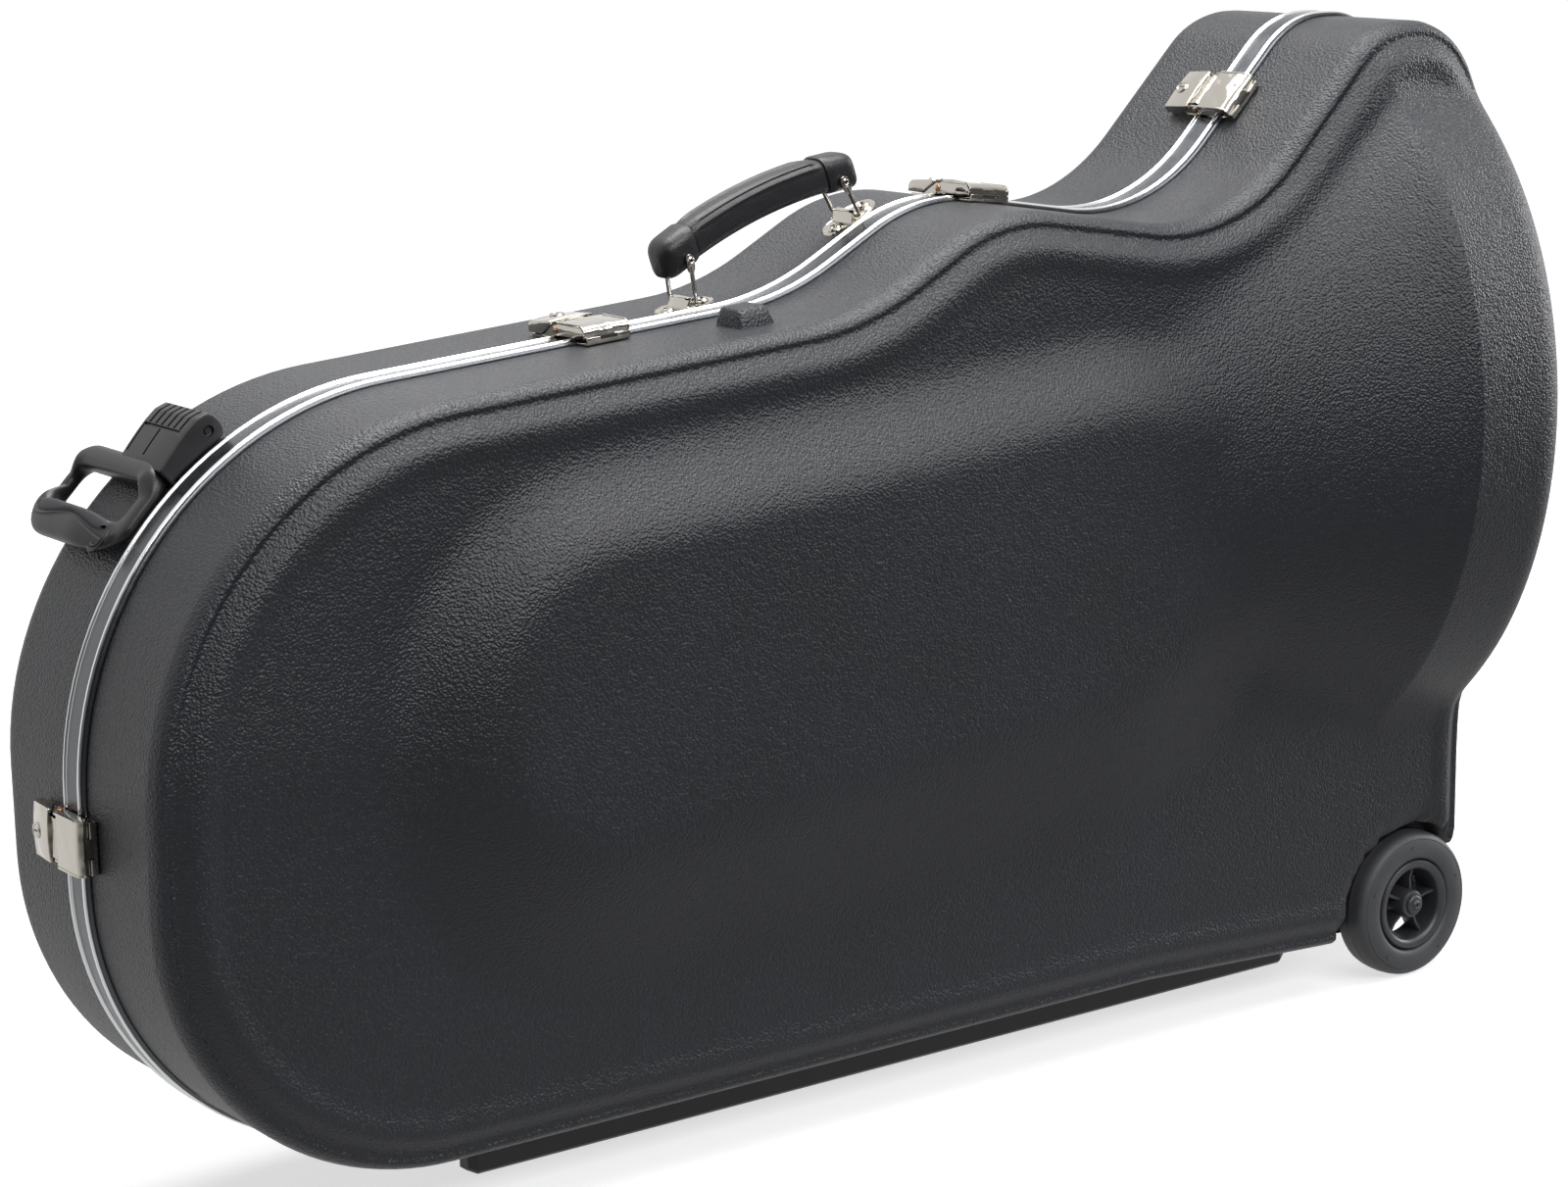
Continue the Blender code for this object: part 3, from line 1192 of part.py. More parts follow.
def tow_lugs(near, panel_far):
    # the lugs are slim under the pin and the slots open to the rear, so the handle
    # can swing out past a right angle
    reach = TOW_PIN_HEIGHT - TOW_BASE
    lug = arc((0.0, 0.0), 0.0042, 0, 180, 6)
    lug += [(-0.0034, -0.004), (-0.0040, -reach - 0.0009), (0.0040, -reach - 0.0009), (0.0034, -0.004)]
    slot = arc((0.0, 0.0), 0.0050, 0, 125, 6)
    slot += [(-0.012, 0.0095), (-0.012, -0.030), (0.0075, -0.030), (0.0065, -0.006)]
    lugs = []
    slots = []
    for share in (0.22, 0.78):
        y = near + (panel_far - near) * share
        lugs.append(extruded(lug, y - 0.002, y + 0.002, "xzy"))
        slots.append(extruded(slot, y - 0.0024, y + 0.0024, "xzy"))
    return joined(*lugs), joined(*slots)


def make_tow_pad(place, window_to, loop_far, near):
    # soft pad along the inside of the grip
    low = tow_local(TOW_LENGTH - TOW_GRIP, 0.0025)[1]
    high = tow_local(TOW_LENGTH - TOW_GRIP, TOW_THICKNESS - 0.002)[1]
    outline = rounded_rectangle((window_to - GAP - 0.0024, low), (window_to - GAP, high), 0.0011, 2)
    pad = extruded(outline, loop_far + TOW_BAR + 0.008, near - TOW_BAR - 0.008, "xzy")
    make_object("tow_pad", pad, (0.03, 0.03, 0.031), 0.9, 0.0, place)


def build():
    clear_scene()
    make_shell("back_shell", 1, BACK_EDGE_Y)
    make_shell("front_shell", -1, FRONT_EDGE_Y)
    make_frames()
    make_padding("back_padding", 1, BACK_EDGE_Y + 0.0044 + GAP)
    make_padding("front_padding", -1, FRONT_EDGE_Y + 0.0024 + GAP)
    make_cushion("bow_cushion", BOW_CUSHION_X, BOW_CUSHION_Z, BOW_CUSHION_LENGTH, BOW_CUSHION_HEIGHT)
    make_cushion("bell_cushion", BELL_CUSHION_X, BELL_CUSHION_Z, BELL_CUSHION_LENGTH, BELL_CUSHION_HEIGHT)
    make_runner("back_runner", 1)
    make_runner("front_runner", -1)
    for number, x in enumerate(HINGE_X, 1):
        make_hinge(number, x)
    make_wheel("back", 1)
    make_wheel("front", -1)
    for number, (origin, tangent, normal) in enumerate(latch_seats(), 1):
        make_latch(number, seat_matrix(origin, tangent, normal, 0.0))
    first = make_bail(1, BAIL_1_X, BAIL_1_LENGTH, BAIL_1_LEAN)
    second = make_bail(2, BAIL_2_X, BAIL_2_LENGTH, BAIL_2_LEAN)
    make_grip(first, second)
    make_tow()


build()
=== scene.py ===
import json
import math

import bmesh
import bpy
from mathutils import Matrix, Vector


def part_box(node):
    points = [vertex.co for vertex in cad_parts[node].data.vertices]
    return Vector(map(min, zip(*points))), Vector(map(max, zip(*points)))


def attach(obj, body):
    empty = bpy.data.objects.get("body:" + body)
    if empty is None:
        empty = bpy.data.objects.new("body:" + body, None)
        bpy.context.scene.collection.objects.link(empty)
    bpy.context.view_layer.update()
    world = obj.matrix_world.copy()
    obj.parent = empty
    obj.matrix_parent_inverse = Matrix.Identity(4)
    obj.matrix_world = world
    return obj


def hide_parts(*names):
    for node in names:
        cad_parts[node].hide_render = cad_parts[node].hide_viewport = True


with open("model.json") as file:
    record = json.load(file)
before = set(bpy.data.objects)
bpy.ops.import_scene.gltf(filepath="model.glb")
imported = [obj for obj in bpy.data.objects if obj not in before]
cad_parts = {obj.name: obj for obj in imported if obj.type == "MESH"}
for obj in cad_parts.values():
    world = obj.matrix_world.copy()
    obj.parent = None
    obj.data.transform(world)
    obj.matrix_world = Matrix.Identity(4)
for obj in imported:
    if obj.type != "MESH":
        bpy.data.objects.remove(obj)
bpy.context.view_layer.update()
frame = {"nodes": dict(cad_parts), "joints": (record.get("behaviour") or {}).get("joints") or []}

# Tuba case with leather-grained shells, polished seam profiles, four drawbolt
# latches, a leather carrying handle, a hinged tow handle and two wheels.
# The piece sizes repeat the solid model's, in metres.


# Small tools

def asLinear(hexColour):
    # sRGB hex to the linear colour that the shader takes
    parts = [int(hexColour[i:i + 2], 16) / 255 for i in (1, 3, 5)]
    return tuple(c / 12.92 if c <= 0.04045 else ((c + 0.055) / 1.055) ** 2.4 for c in parts) + (1.0,)


def addNode(tree, kind, settings=None, inputs=None):
    node = tree.nodes.new(kind)
    for key, value in (settings or {}).items():
        setattr(node, key, value)
    for key, value in (inputs or {}).items():
        if isinstance(value, bpy.types.NodeSocket):
            tree.links.new(value, node.inputs[key])
        else:
            node.inputs[key].default_value = value
    return node


def startMaterial(name, colour, **shaderInputs):
    made = bpy.data.materials.new(name)
    made.use_nodes = True
    tree = made.node_tree
    shader = tree.nodes["Principled BSDF"]
    shader.inputs["Base Color"].default_value = asLinear(colour)
    for key, value in shaderInputs.items():
        shader.inputs[key.replace("_", " ")].default_value = value
    return made, tree, shader


def setRamp(ramp, stops):
    # stops are (place, hex colour) pairs, two of them
    for element, (place, colour) in zip(ramp.color_ramp.elements, stops):
        element.position = place
        element.color = asLinear(colour)


def finishPiece(bm, name, body, materials, replaces=(), smoothAngle=35):
    mesh = bpy.data.meshes.new(name)
    bm.to_mesh(mesh)
    bm.free()
    for material in materials:
        mesh.materials.append(material)
    mesh.shade_smooth()
    mesh.set_sharp_from_angle(angle=math.radians(smoothAngle))
    piece = bpy.data.objects.new(name, mesh)
    bpy.context.scene.collection.objects.link(piece)
    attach(piece, body)
    if replaces:
        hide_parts(*replaces)
    return piece


def dressNode(name, material):
    # a CAD node whose shape is right gets its finish
    node = frame["nodes"][name]
    for slot in node.material_slots:
        slot.material = material


def newVerts(result):
    return [g for g in result["geom"] if isinstance(g, bmesh.types.BMVert)]


def loftRings(bm, rings, loop=False, caps=True, materialOf=None, openRing=False):
    # the first ring is laid, and each next one is extruded from the last
    place = bm.verts.layers.int.get("place") or bm.verts.layers.int.new("place")
    count = len(rings[0])
    laid = [bm.verts.new(p) for p in rings[0]]
    for i, vert in enumerate(laid):
        vert[place] = i
    spans = count - 1 if openRing else count
    edges = [bm.edges.new((laid[i], laid[(i + 1) % count])) for i in range(spans)]
    firstEdges = list(edges)
    made = []
    for ring in rings[1:]:
        result = bmesh.ops.extrude_edge_only(bm, edges=edges)
        grown = newVerts(result)
        for vert in grown:
            vert.co = ring[vert[place]]
        fresh = set(grown)
        edges = [g for g in result["geom"] if isinstance(g, bmesh.types.BMEdge)
                 and g.verts[0] in fresh and g.verts[1] in fresh]
        made += [g for g in result["geom"] if isinstance(g, bmesh.types.BMFace)]
    if loop:
        made += bmesh.ops.bridge_loops(bm, edges=edges + firstEdges)["faces"]
    elif caps and not openRing:
        made += bmesh.ops.contextual_create(bm, geom=firstEdges)["faces"]
        made += bmesh.ops.contextual_create(bm, geom=edges)["faces"]
    if materialOf:
        for face in made:
            face.material_index = materialOf(face)
    return made


def extrudeOutline(bm, outline, low, high, order="xyz", bevel=0.0, segments=2, cuts=0):
    # outline holds (first, second) pairs, and the piece runs from low to high along the third
    slots = ["xyz".index(letter) for letter in order]
    corners = []
    for a, b in outline:
        point = [0.0, 0.0, 0.0]
        point[slots[0]] = a
        point[slots[1]] = b
        point[slots[2]] = low
        corners.append(bm.verts.new(point))
    face = bm.faces.new(corners)
    step = Vector((0.0, 0.0, 0.0))
    step[slots[2]] = (high - low) / (cuts + 1)
    faces = [face]
    everything = set(corners)
    for k in range(cuts + 1):
        result = bmesh.ops.extrude_face_region(bm, geom=faces)
        if k:
            bmesh.ops.delete(bm, geom=faces, context="FACES_ONLY")
        grown = newVerts(result)
        faces = [g for g in result["geom"] if isinstance(g, bmesh.types.BMFace)]
        bmesh.ops.translate(bm, vec=step, verts=grown)
        everything.update(grown)
    everything = [v for v in everything if v.is_valid]
    if bevel:
        # only the sharp edges of this outline are rounded
        region = set(everything)
        edges = [e for e in bm.edges if e.verts[0] in region and e.verts[1] in region
                 and len(e.link_faces) == 2 and e.calc_face_angle(0.0) > math.radians(25)]
        result = bmesh.ops.bevel(bm, geom=edges, offset=bevel, offset_type="OFFSET", segments=segments,
                                 profile=0.5, affect="EDGES", material=-1, clamp_overlap=True)
        everything = [v for v in everything if v.is_valid] + list(result["verts"])
    return list(dict.fromkeys(everything))


def spinProfile(bm, profile, steps=48):
    # profile holds (radius, height) pairs and turns about local Z
    verts = [bm.verts.new((r, 0.0, h)) for r, h in profile]
    edges = [bm.edges.new(pair) for pair in zip(verts, verts[1:])]
    before = set(bm.verts) - set(verts)
    bmesh.ops.spin(bm, geom=verts + edges, cent=(0, 0, 0), axis=(0, 0, 1), dvec=(0, 0, 0),
                   angle=2 * math.pi, steps=steps, use_merge=True)
    grown = [v for v in bm.verts if v not in before]
    bmesh.ops.remove_doubles(bm, verts=grown, dist=1e-6)
    return [v for v in bm.verts if v not in before]


def tidyFaces(bm):
    bmesh.ops.remove_doubles(bm, verts=bm.verts, dist=1e-6)
    bm.normal_update()
    bmesh.ops.recalc_face_normals(bm, faces=bm.faces)
    return bm


def transformed(bm, matrix, verts=None):
    bmesh.ops.transform(bm, matrix=matrix, verts=verts if verts is not None else bm.verts)
    return bm


def cutWith(bm, cutter, operation="DIFFERENCE"):
    # boolean of two meshes, applied at once; the helpers are removed again
    helpers = []
    for k, shape in enumerate((bm, cutter)):
        mesh = bpy.data.meshes.new("helper")
        shape.to_mesh(mesh)
        shape.free()
        helper = bpy.data.objects.new(f"helper{k}", mesh)
        bpy.context.scene.collection.objects.link(helper)
        helpers.append(helper)
    step = helpers[0].modifiers.new("cut", "BOOLEAN")
    step.object = helpers[1]
    step.operation = operation
    step.solver = "EXACT"
    graph = bpy.context.evaluated_depsgraph_get()
    result = bmesh.new()
    result.from_mesh(helpers[0].evaluated_get(graph).to_mesh())
    for helper in helpers:
        mesh = helper.data
        bpy.data.objects.remove(helper, do_unlink=True)
        bpy.data.meshes.remove(mesh)
    return result


def arcPoints(centre, radius, start, end, steps):
    points = []
    for k in range(steps + 1):
        angle = math.radians(start + (end - start) * k / steps)
        points.append((centre[0] + radius * math.cos(angle), centre[1] + radius * math.sin(angle)))
    return points


def roundedOutline(low, high, radius, steps=5):
    points = arcPoints((high[0] - radius, high[1] - radius), radius, 0, 90, steps)
    points += arcPoints((low[0] + radius, high[1] - radius), radius, 90, 180, steps)
    points += arcPoints((low[0] + radius, low[1] + radius), radius, 180, 270, steps)
    points += arcPoints((high[0] - radius, low[1] + radius), radius, 270, 360, steps)
    return points


def jointMatrix(name, normalUp=False):
    # frame of a joint: X along its axis, Y to the back, Z out of the case
    joint = next(j for j in frame["joints"] if j["name"] == name)
    along = Vector(joint["axis"]).normalized()
    out = along.cross(Vector((0.0, 1.0, 0.0)))
    place = Matrix.Identity(4)
    place.col[0] = (*along, 0.0)
    place.col[1] = (0.0, 1.0, 0.0, 0.0)
    place.col[2] = (*out, 0.0)
    place.col[3] = (*joint["pos_m"], 1.0)
    return place


# Finishes

def makeGrainedAbs():
    # leather-grained ABS, vacuum formed: a charcoal skin with a pebble of about
    # 1.6 mm that breaks up the soft highlights
    made, tree, shader = startMaterial("leatherGrainedAbs", "#13151b", Roughness=0.42, IOR=1.5)
    place = addNode(tree, "ShaderNodeTexCoord").outputs["Object"]
    warp = addNode(tree, "ShaderNodeTexNoise", inputs={"Vector": place, "Scale": 180.0, "Detail": 2.0})
    shift = addNode(tree, "ShaderNodeVectorMath", {"operation": "MULTIPLY_ADD"},
                    {0: warp.outputs["Color"], 1: (0.0014, 0.0014, 0.0014), 2: place})
    pebble = addNode(tree, "ShaderNodeTexVoronoi", {"feature": "SMOOTH_F1"},
                     {"Vector": shift.outputs[0], "Scale": 620.0, "Smoothness": 0.3})
    crease = addNode(tree, "ShaderNodeTexNoise", inputs={"Vector": place, "Scale": 420.0, "Detail": 2.0})
    height = addNode(tree, "ShaderNodeMath", {"operation": "MULTIPLY_ADD"},
                     {0: crease.outputs["Fac"], 1: 0.45, 2: pebble.outputs["Distance"]})
    bump = addNode(tree, "ShaderNodeBump", {"invert": True},
                   {"Strength": 0.7, "Distance": 0.0008, "Height": height.outputs[0]})
    tree.links.new(bump.outputs["Normal"], shader.inputs["Normal"])
    patch = addNode(tree, "ShaderNodeTexNoise", inputs={"Vector": place, "Scale": 9.0, "Detail": 4.0})
    tone = addNode(tree, "ShaderNodeValToRGB", inputs={"Fac": patch.outputs["Fac"]})
    setRamp(tone, ((0.35, "#12141a"), (0.65, "#15171e")))
    tree.links.new(tone.outputs["Color"], shader.inputs["Base Color"])
    sheen = addNode(tree, "ShaderNodeMapRange",
                    inputs={"Value": pebble.outputs["Distance"], "To Min": 0.34, "To Max": 0.52})
    tree.links.new(sheen.outputs[0], shader.inputs["Roughness"])
    return made


def makeMetal(name, colour, roughness, scratchMm, depth, wear=0.06, ripple=0.0):
    # fine scratches, a cloudy wear in the roughness, and the slow ripple of a pressing
    made, tree, shader = startMaterial(name, colour, Roughness=roughness, Metallic=1.0)
    place = addNode(tree, "ShaderNodeTexCoord").outputs["Object"]
    lines = addNode(tree, "ShaderNodeTexNoise",
                    inputs={"Vector": place, "Scale": 1000.0 / scratchMm, "Detail": 3.0})
    cloud = addNode(tree, "ShaderNodeTexNoise", inputs={"Vector": place, "Scale": 120.0, "Detail": 4.0})
    haze = addNode(tree, "ShaderNodeMapRange",
                   inputs={"Value": cloud.outputs["Fac"], "From Min": 0.3, "From Max": 0.7,
                           "To Min": max(roughness - wear / 2, 0.02), "To Max": roughness + wear})
    tree.links.new(haze.outputs[0], shader.inputs["Roughness"])
    bump = addNode(tree, "ShaderNodeBump",
                   inputs={"Strength": depth, "Distance": 0.00005, "Height": lines.outputs["Fac"]})
    if ripple:
        swell = addNode(tree, "ShaderNodeTexNoise", inputs={"Vector": place, "Scale": 70.0, "Detail": 1.0})
        bump = addNode(tree, "ShaderNodeBump",
                       inputs={"Strength": ripple, "Distance": 0.0022, "Height": swell.outputs["Fac"],
                               "Normal": bump.outputs["Normal"]})
    tree.links.new(bump.outputs["Normal"], shader.inputs["Normal"])
    return made


def makePlastic(name, colour, second, roughness, grainMm, depth, patchMm=14.0):
    # moulded plastic or rubber: spark-eroded grain and a faint mottling
    made, tree, shader = startMaterial(name, colour, Roughness=roughness, IOR=1.5)
    place = addNode(tree, "ShaderNodeTexCoord").outputs["Object"]
    grain = addNode(tree, "ShaderNodeTexNoise",
                    inputs={"Vector": place, "Scale": 1000.0 / grainMm, "Detail": 4.0, "Roughness": 0.6})
    bump = addNode(tree, "ShaderNodeBump",
                   inputs={"Strength": depth, "Distance": 0.0002, "Height": grain.outputs["Fac"]})
    tree.links.new(bump.outputs["Normal"], shader.inputs["Normal"])
    patch = addNode(tree, "ShaderNodeTexNoise",
                    inputs={"Vector": place, "Scale": 1000.0 / patchMm, "Detail": 3.0})
    tone = addNode(tree, "ShaderNodeValToRGB", inputs={"Fac": patch.outputs["Fac"]})
    setRamp(tone, ((0.35, colour), (0.68, second)))
    tree.links.new(tone.outputs["Color"], shader.inputs["Base Color"])
    haze = addNode(tree, "ShaderNodeMapRange",
                   inputs={"Value": patch.outputs["Fac"], "To Min": roughness - 0.06, "To Max": roughness + 0.08})
    tree.links.new(haze.outputs[0], shader.inputs["Roughness"])
    return made


def makePlush():
    # knitted plush lining: short dark pile that lightens where it is seen side on
    made, tree, shader = startMaterial("plushLining", "#1d1d20", Roughness=0.95)
    shader.inputs["Sheen Weight"].default_value = 0.6
    shader.inputs["Sheen Roughness"].default_value = 0.4
    place = addNode(tree, "ShaderNodeTexCoord").outputs["Object"]
    pile = addNode(tree, "ShaderNodeTexNoise", inputs={"Vector": place, "Scale": 900.0, "Detail": 2.0})
    brushed = addNode(tree, "ShaderNodeTexNoise", inputs={"Vector": place, "Scale": 28.0, "Detail": 4.0})
    bump = addNode(tree, "ShaderNodeBump",
                   inputs={"Strength": 0.7, "Distance": 0.0006, "Height": pile.outputs["Fac"]})
    tree.links.new(bump.outputs["Normal"], shader.inputs["Normal"])
    tone = addNode(tree, "ShaderNodeValToRGB", inputs={"Fac": brushed.outputs["Fac"]})
    setRamp(tone, ((0.35, "#17171a"), (0.65, "#242428")))
    tree.links.new(tone.outputs["Color"], shader.inputs["Base Color"])
    return made


def makeLeather():
    # dyed cowhide pulled over the grip: fine pores, a low waxy shine
    made, tree, shader = startMaterial("dyedLeather", "#17171a", Roughness=0.36, IOR=1.48)
    place = addNode(tree, "ShaderNodeTexCoord").outputs["Object"]
    pores = addNode(tree, "ShaderNodeTexVoronoi", {"feature": "SMOOTH_F1"},
                    {"Vector": place, "Scale": 900.0, "Smoothness": 0.5})
    folds = addNode(tree, "ShaderNodeTexNoise", inputs={"Vector": place, "Scale": 160.0, "Detail": 4.0})
    height = addNode(tree, "ShaderNodeMath", {"operation": "MULTIPLY_ADD"},
                     {0: folds.outputs["Fac"], 1: 1.2, 2: pores.outputs["Distance"]})
    bump = addNode(tree, "ShaderNodeBump", {"invert": True},
                   {"Strength": 0.35, "Distance": 0.0003, "Height": height.outputs[0]})
    tree.links.new(bump.outputs["Normal"], shader.inputs["Normal"])
    haze = addNode(tree, "ShaderNodeMapRange",
                   inputs={"Value": folds.outputs["Fac"], "To Min": 0.30, "To Max": 0.50})
    tree.links.new(haze.outputs[0], shader.inputs["Roughness"])
    return made


finish = {
    "abs": makeGrainedAbs(),
    "plush": makePlush(),
    "leather": makeLeather(),
    # nickel-plated steel, polished: a mirror with a warm grey cast
    "nickel": makeMetal("nickelPlatedSteel", "#bdb8af", 0.08, 0.6, 0.12, 0.05, 0.45),
    # polished aluminium of the seam ridges: a hard white line
    "bright": makeMetal("polishedAluminium", "#e6e7e8", 0.12, 0.8, 0.15),
    # satin anodised aluminium of the seam band: a dark grey that mirrors softly
    "satin": makeMetal("satinAluminium", "#5c5e61", 0.26, 0.5, 0.30),
    # zinc-plated steel of the hinges and axles: dull blue-grey
    "zinc": makeMetal("zincPlatedSteel", "#a9adb2", 0.32, 1.2, 0.25),
    # bare brass rivet: a small warm spot on the latch's side
    "brass": makeMetal("bareBrass", "#a9794c", 0.24, 0.5, 0.15),
    # glass-filled nylon of the tow handle: near-black, faintly speckled
    "nylon": makePlastic("glassFilledNylon", "#111113", "#17171a", 0.40, 0.9, 0.30),
    # thermoplastic elastomer of the tow grip: coarse dull grain
    "softGrip": makePlastic("thermoplasticElastomer", "#2c2c2f", "#3a3a3d", 0.78, 0.7, 0.9),
    # moulded rubber tyre: grey-black, dry
    "rubber": makePlastic("mouldedRubber", "#37383a", "#3d3e41", 0.52, 1.5, 0.18, 20.0),
    # polypropylene rim and hub: a little smoother than the tyre
    "rim": makePlastic("mouldedPolypropylene", "#2f3032", "#35363a", 0.36, 1.2, 0.12),
    # polyethylene runners: black, scuffed
    "runner": makePlastic("polyethyleneRunner", "#1b1b1d", "#232325", 0.50, 0.8, 0.25),
    # painted shade: a near-black that stands for the shade inside the lock's keyway, the catch's slot, the rivet bores
    # and the tow pin's hole
    "dark": makePlastic("paintedHoleShade", "#0b0b0c", "#101011", 0.6, 0.5, 0.2),
}
print("finishes ready")


# Seam outline, measured from the left end and from the floor

seam = {
    "length": 0.9785, "bottomZ": 0.038, "bendX": 0.698, "bellBottomZ": 0.024, "bellFlat": 0.095,
    "leftTopZ": 0.460, "shoulder": (0.471, 0.494), "hump": (0.5755, 0.550), "waist": (0.760, 0.5195),
    "bellTopZ": 0.643, "proud": 0.002,
    "radii": (0.178, 0.210, 0.187, 0.120, 0.130, 0.067, 0.060, 0.045),
    "leftSteps": 30, "rightSteps": 16,
}
edgeProfile = ((0.0, -0.010), (0.002, -0.004), (0.006, 0.0), (0.010, -0.0005), (0.015, 0.003),
               (0.023, 0.0075), (0.036, 0.006))
faceInset = seam["proud"] + edgeProfile[-1][0]


def left(x):
    return x - seam["length"] / 2


def cornerArc(before, corner, after, radius, steps):
    # points of a rounded corner, each with the normal into the case
    entry = (corner - before).normalized()
    leave = (after - corner).normalized()
    side = 1.0 if entry.x * leave.y - entry.y * leave.x < 0 else -1.0
    angle = entry.angle(leave)
    start = corner - entry * radius * math.tan(angle / 2)
    inward = Vector((entry.y, -entry.x))
    centre = start + inward * radius * side
    samples = []
    for k in range(steps + 1):
        normal = Matrix.Rotation(-side * angle * k / steps, 2) @ inward
        samples.append((centre - normal * radius * side, normal))
    return samples


def outlineCorners():
    end = seam["length"]
    return [Vector(p) for p in ((0.0, seam["bottomZ"]), (0.0, seam["leftTopZ"]), seam["shoulder"], seam["hump"],
                                seam["waist"], (end - seam["bellFlat"], seam["bellTopZ"]),
                                (end, seam["bellTopZ"]), (end, seam["bellBottomZ"]))]


def outlineChains():
    # upper and lower half of the outline with as many points each
    corners = outlineCorners()
    bend = Vector((seam["bendX"], seam["bottomZ"]))
    steps = (seam["leftSteps"], seam["leftSteps"], 8, 12, 16, 10, seam["rightSteps"], seam["rightSteps"])
    arcs = []
    for k, corner in enumerate(corners):
        before = corners[k - 1] if k else bend
        after = corners[k + 1] if k + 1 < len(corners) else bend
        arcs.append(cornerArc(before, corner, after, seam["radii"][k], steps[k]))
    fill = {1: 24, 2: 3, 3: 6, 4: 10, 5: 2}
    top = list(arcs[1])
    for k in range(2, 7):
        start = top[-1]
        end = arcs[k][0]
        for i in range(1, fill[k - 1]):
            top.append((start[0].lerp(end[0], i / fill[k - 1]), start[1]))
        top += arcs[k]
    slope = (bend - corners[7]).normalized()
    slopeNormal = Vector((slope.y, -slope.x))
    bottom = list(reversed(arcs[0]))
    for point, normal in top[seam["leftSteps"] + 1:len(top) - seam["rightSteps"] - 1]:
        x = point.x + normal.x * faceInset
        if x <= seam["bendX"]:
            bottom.append((Vector((x, seam["bottomZ"])), Vector((0.0, 1.0))))
        else:
            x -= slopeNormal.x * faceInset
            drop = (x - seam["bendX"]) * slope.y / slope.x
            bottom.append((Vector((x, seam["bottomZ"] + drop)), slopeNormal))
    bottom += list(reversed(arcs[7]))
    return top, bottom


def walkPerimeter(top, bottom, rows):
    samples = list(top)
    for j in range(1, rows):
        samples.append((top[-1][0].lerp(bottom[-1][0], j / rows), Vector((-1.0, 0.0))))
    samples += list(reversed(bottom))
    for j in range(1, rows):
        samples.append((bottom[0][0].lerp(top[0][0], j / rows), Vector((1.0, 0.0))))
    return samples


def atEdge(sample, outward):
    return sample[0] + sample[1] * (seam["proud"] - outward)


topChain, bottomChain = outlineChains()
rowCount = 64
perimeter = walkPerimeter(topChain, bottomChain, rowCount)
print("outline has", len(perimeter), "points")


# Shells: one grid over the face, rings rolled over its edge, the wheel pocket cut out

shell = {
    "wall": 0.004, "ledgeY": 0.091, "backEdgeY": 0.0046, "frontEdgeY": 0.0086,
    "bellDepth": 0.182, "bellHalfHeight": 0.240, "bellCentreZ": 0.391, "bellEdgeRadius": 0.028,
    "throatX": 0.600, "throatDepth": 0.118, "neckX": 0.230, "neckHalfHeight": 0.085, "neckCentreZ": 0.295,
    "plateauY": 0.123, "plateauFrom": (0.285, 0.300), "plateauTo": (0.640, 0.332),
    "plateauRadius": 0.078, "plateauSlope": 0.070,
    "pocketX": 0.9255, "pocketZ": 0.046, "pocketRadius": 0.061, "pocketFloorY": 0.066, "pocketRoll": 0.006,
}
creaseX = next(p.x + n.x * faceInset for p, n in topChain
               if p.x > seam["waist"][0] and p.y > seam["bellTopZ"] - seam["radii"][5] * 0.31)


def clamp(value):
    return min(1.0, max(0.0, value))


def bellHeight(x, z):
    u = clamp((x - shell["neckX"]) / (creaseX - shell["neckX"]))
    flare = clamp((x - shell["throatX"]) / (creaseX - shell["throatX"]))
    depth = shell["throatDepth"] + (shell["bellDepth"] - shell["throatDepth"]) * flare ** 3
    depth -= (shell["throatDepth"] - shell["ledgeY"]) * clamp((shell["throatX"] - x) / 0.2)
    half = shell["neckHalfHeight"] + (shell["bellHalfHeight"] - shell["neckHalfHeight"]) * u ** 2
    centre = shell["neckCentreZ"] + (shell["bellCentreZ"] - shell["neckCentreZ"]) * u ** 1.2
    return depth * math.sqrt(max(0.0, 1.0 - ((z - centre) / half) ** 2))


def plateauShare(x, z):
    start = Vector(shell["plateauFrom"])
    run = Vector(shell["plateauTo"]) - start
    here = Vector((x, z)) - start
    away = here - run * clamp(here.dot(run) / run.length_squared)
    rise = away.y / max(away.length, 1e-6)
    width = shell["plateauSlope"] * (1.0 - (0.14 if rise > 0 else 0.57) * rise)
    t = 1.0 - clamp((away.length - shell["plateauRadius"]) / width)
    return t * t * (3.0 - 2.0 * t)


def faceHeight(x, z, edge, inset):
    radius = shell["bellEdgeRadius"]
    reach = max(0.0, radius - inset)
    drop = radius - math.sqrt(max(0.0, radius ** 2 - reach ** 2))
    bell = bellHeight(x, z) - drop
    height = 0.5 * (edge + bell + math.sqrt((edge - bell) ** 2 + 0.010 ** 2))
    height += max(0.0, shell["plateauY"] - height) * plateauShare(x, z)
    # the edge of the wheel pocket rolls inward
    away = math.hypot(x - shell["pocketX"], z - shell["pocketZ"]) - shell["pocketRadius"]
    roll = shell["pocketRoll"]
    if away < roll:
        depth = min(roll, roll - max(away, 0.0))
        height -= roll - math.sqrt(max(0.0, roll ** 2 - depth ** 2))
    return height


def smoothProfile(points, steps):
    # rounds the edge profile between its stations
    fine = []
    for k in range(len(points) - 1):
        a = Vector(points[max(k - 1, 0)])
        b = Vector(points[k])
        c = Vector(points[k + 1])
        d = Vector(points[min(k + 2, len(points) - 1)])
        for i in range(steps):
            t = i / steps
            fine.append(0.5 * ((2 * b) + (c - a) * t + (2 * a - 5 * b + 4 * c - d) * t ** 2
                               + (3 * b - a - 3 * c + d) * t ** 3))
    fine.append(Vector(points[-1]))
    return fine


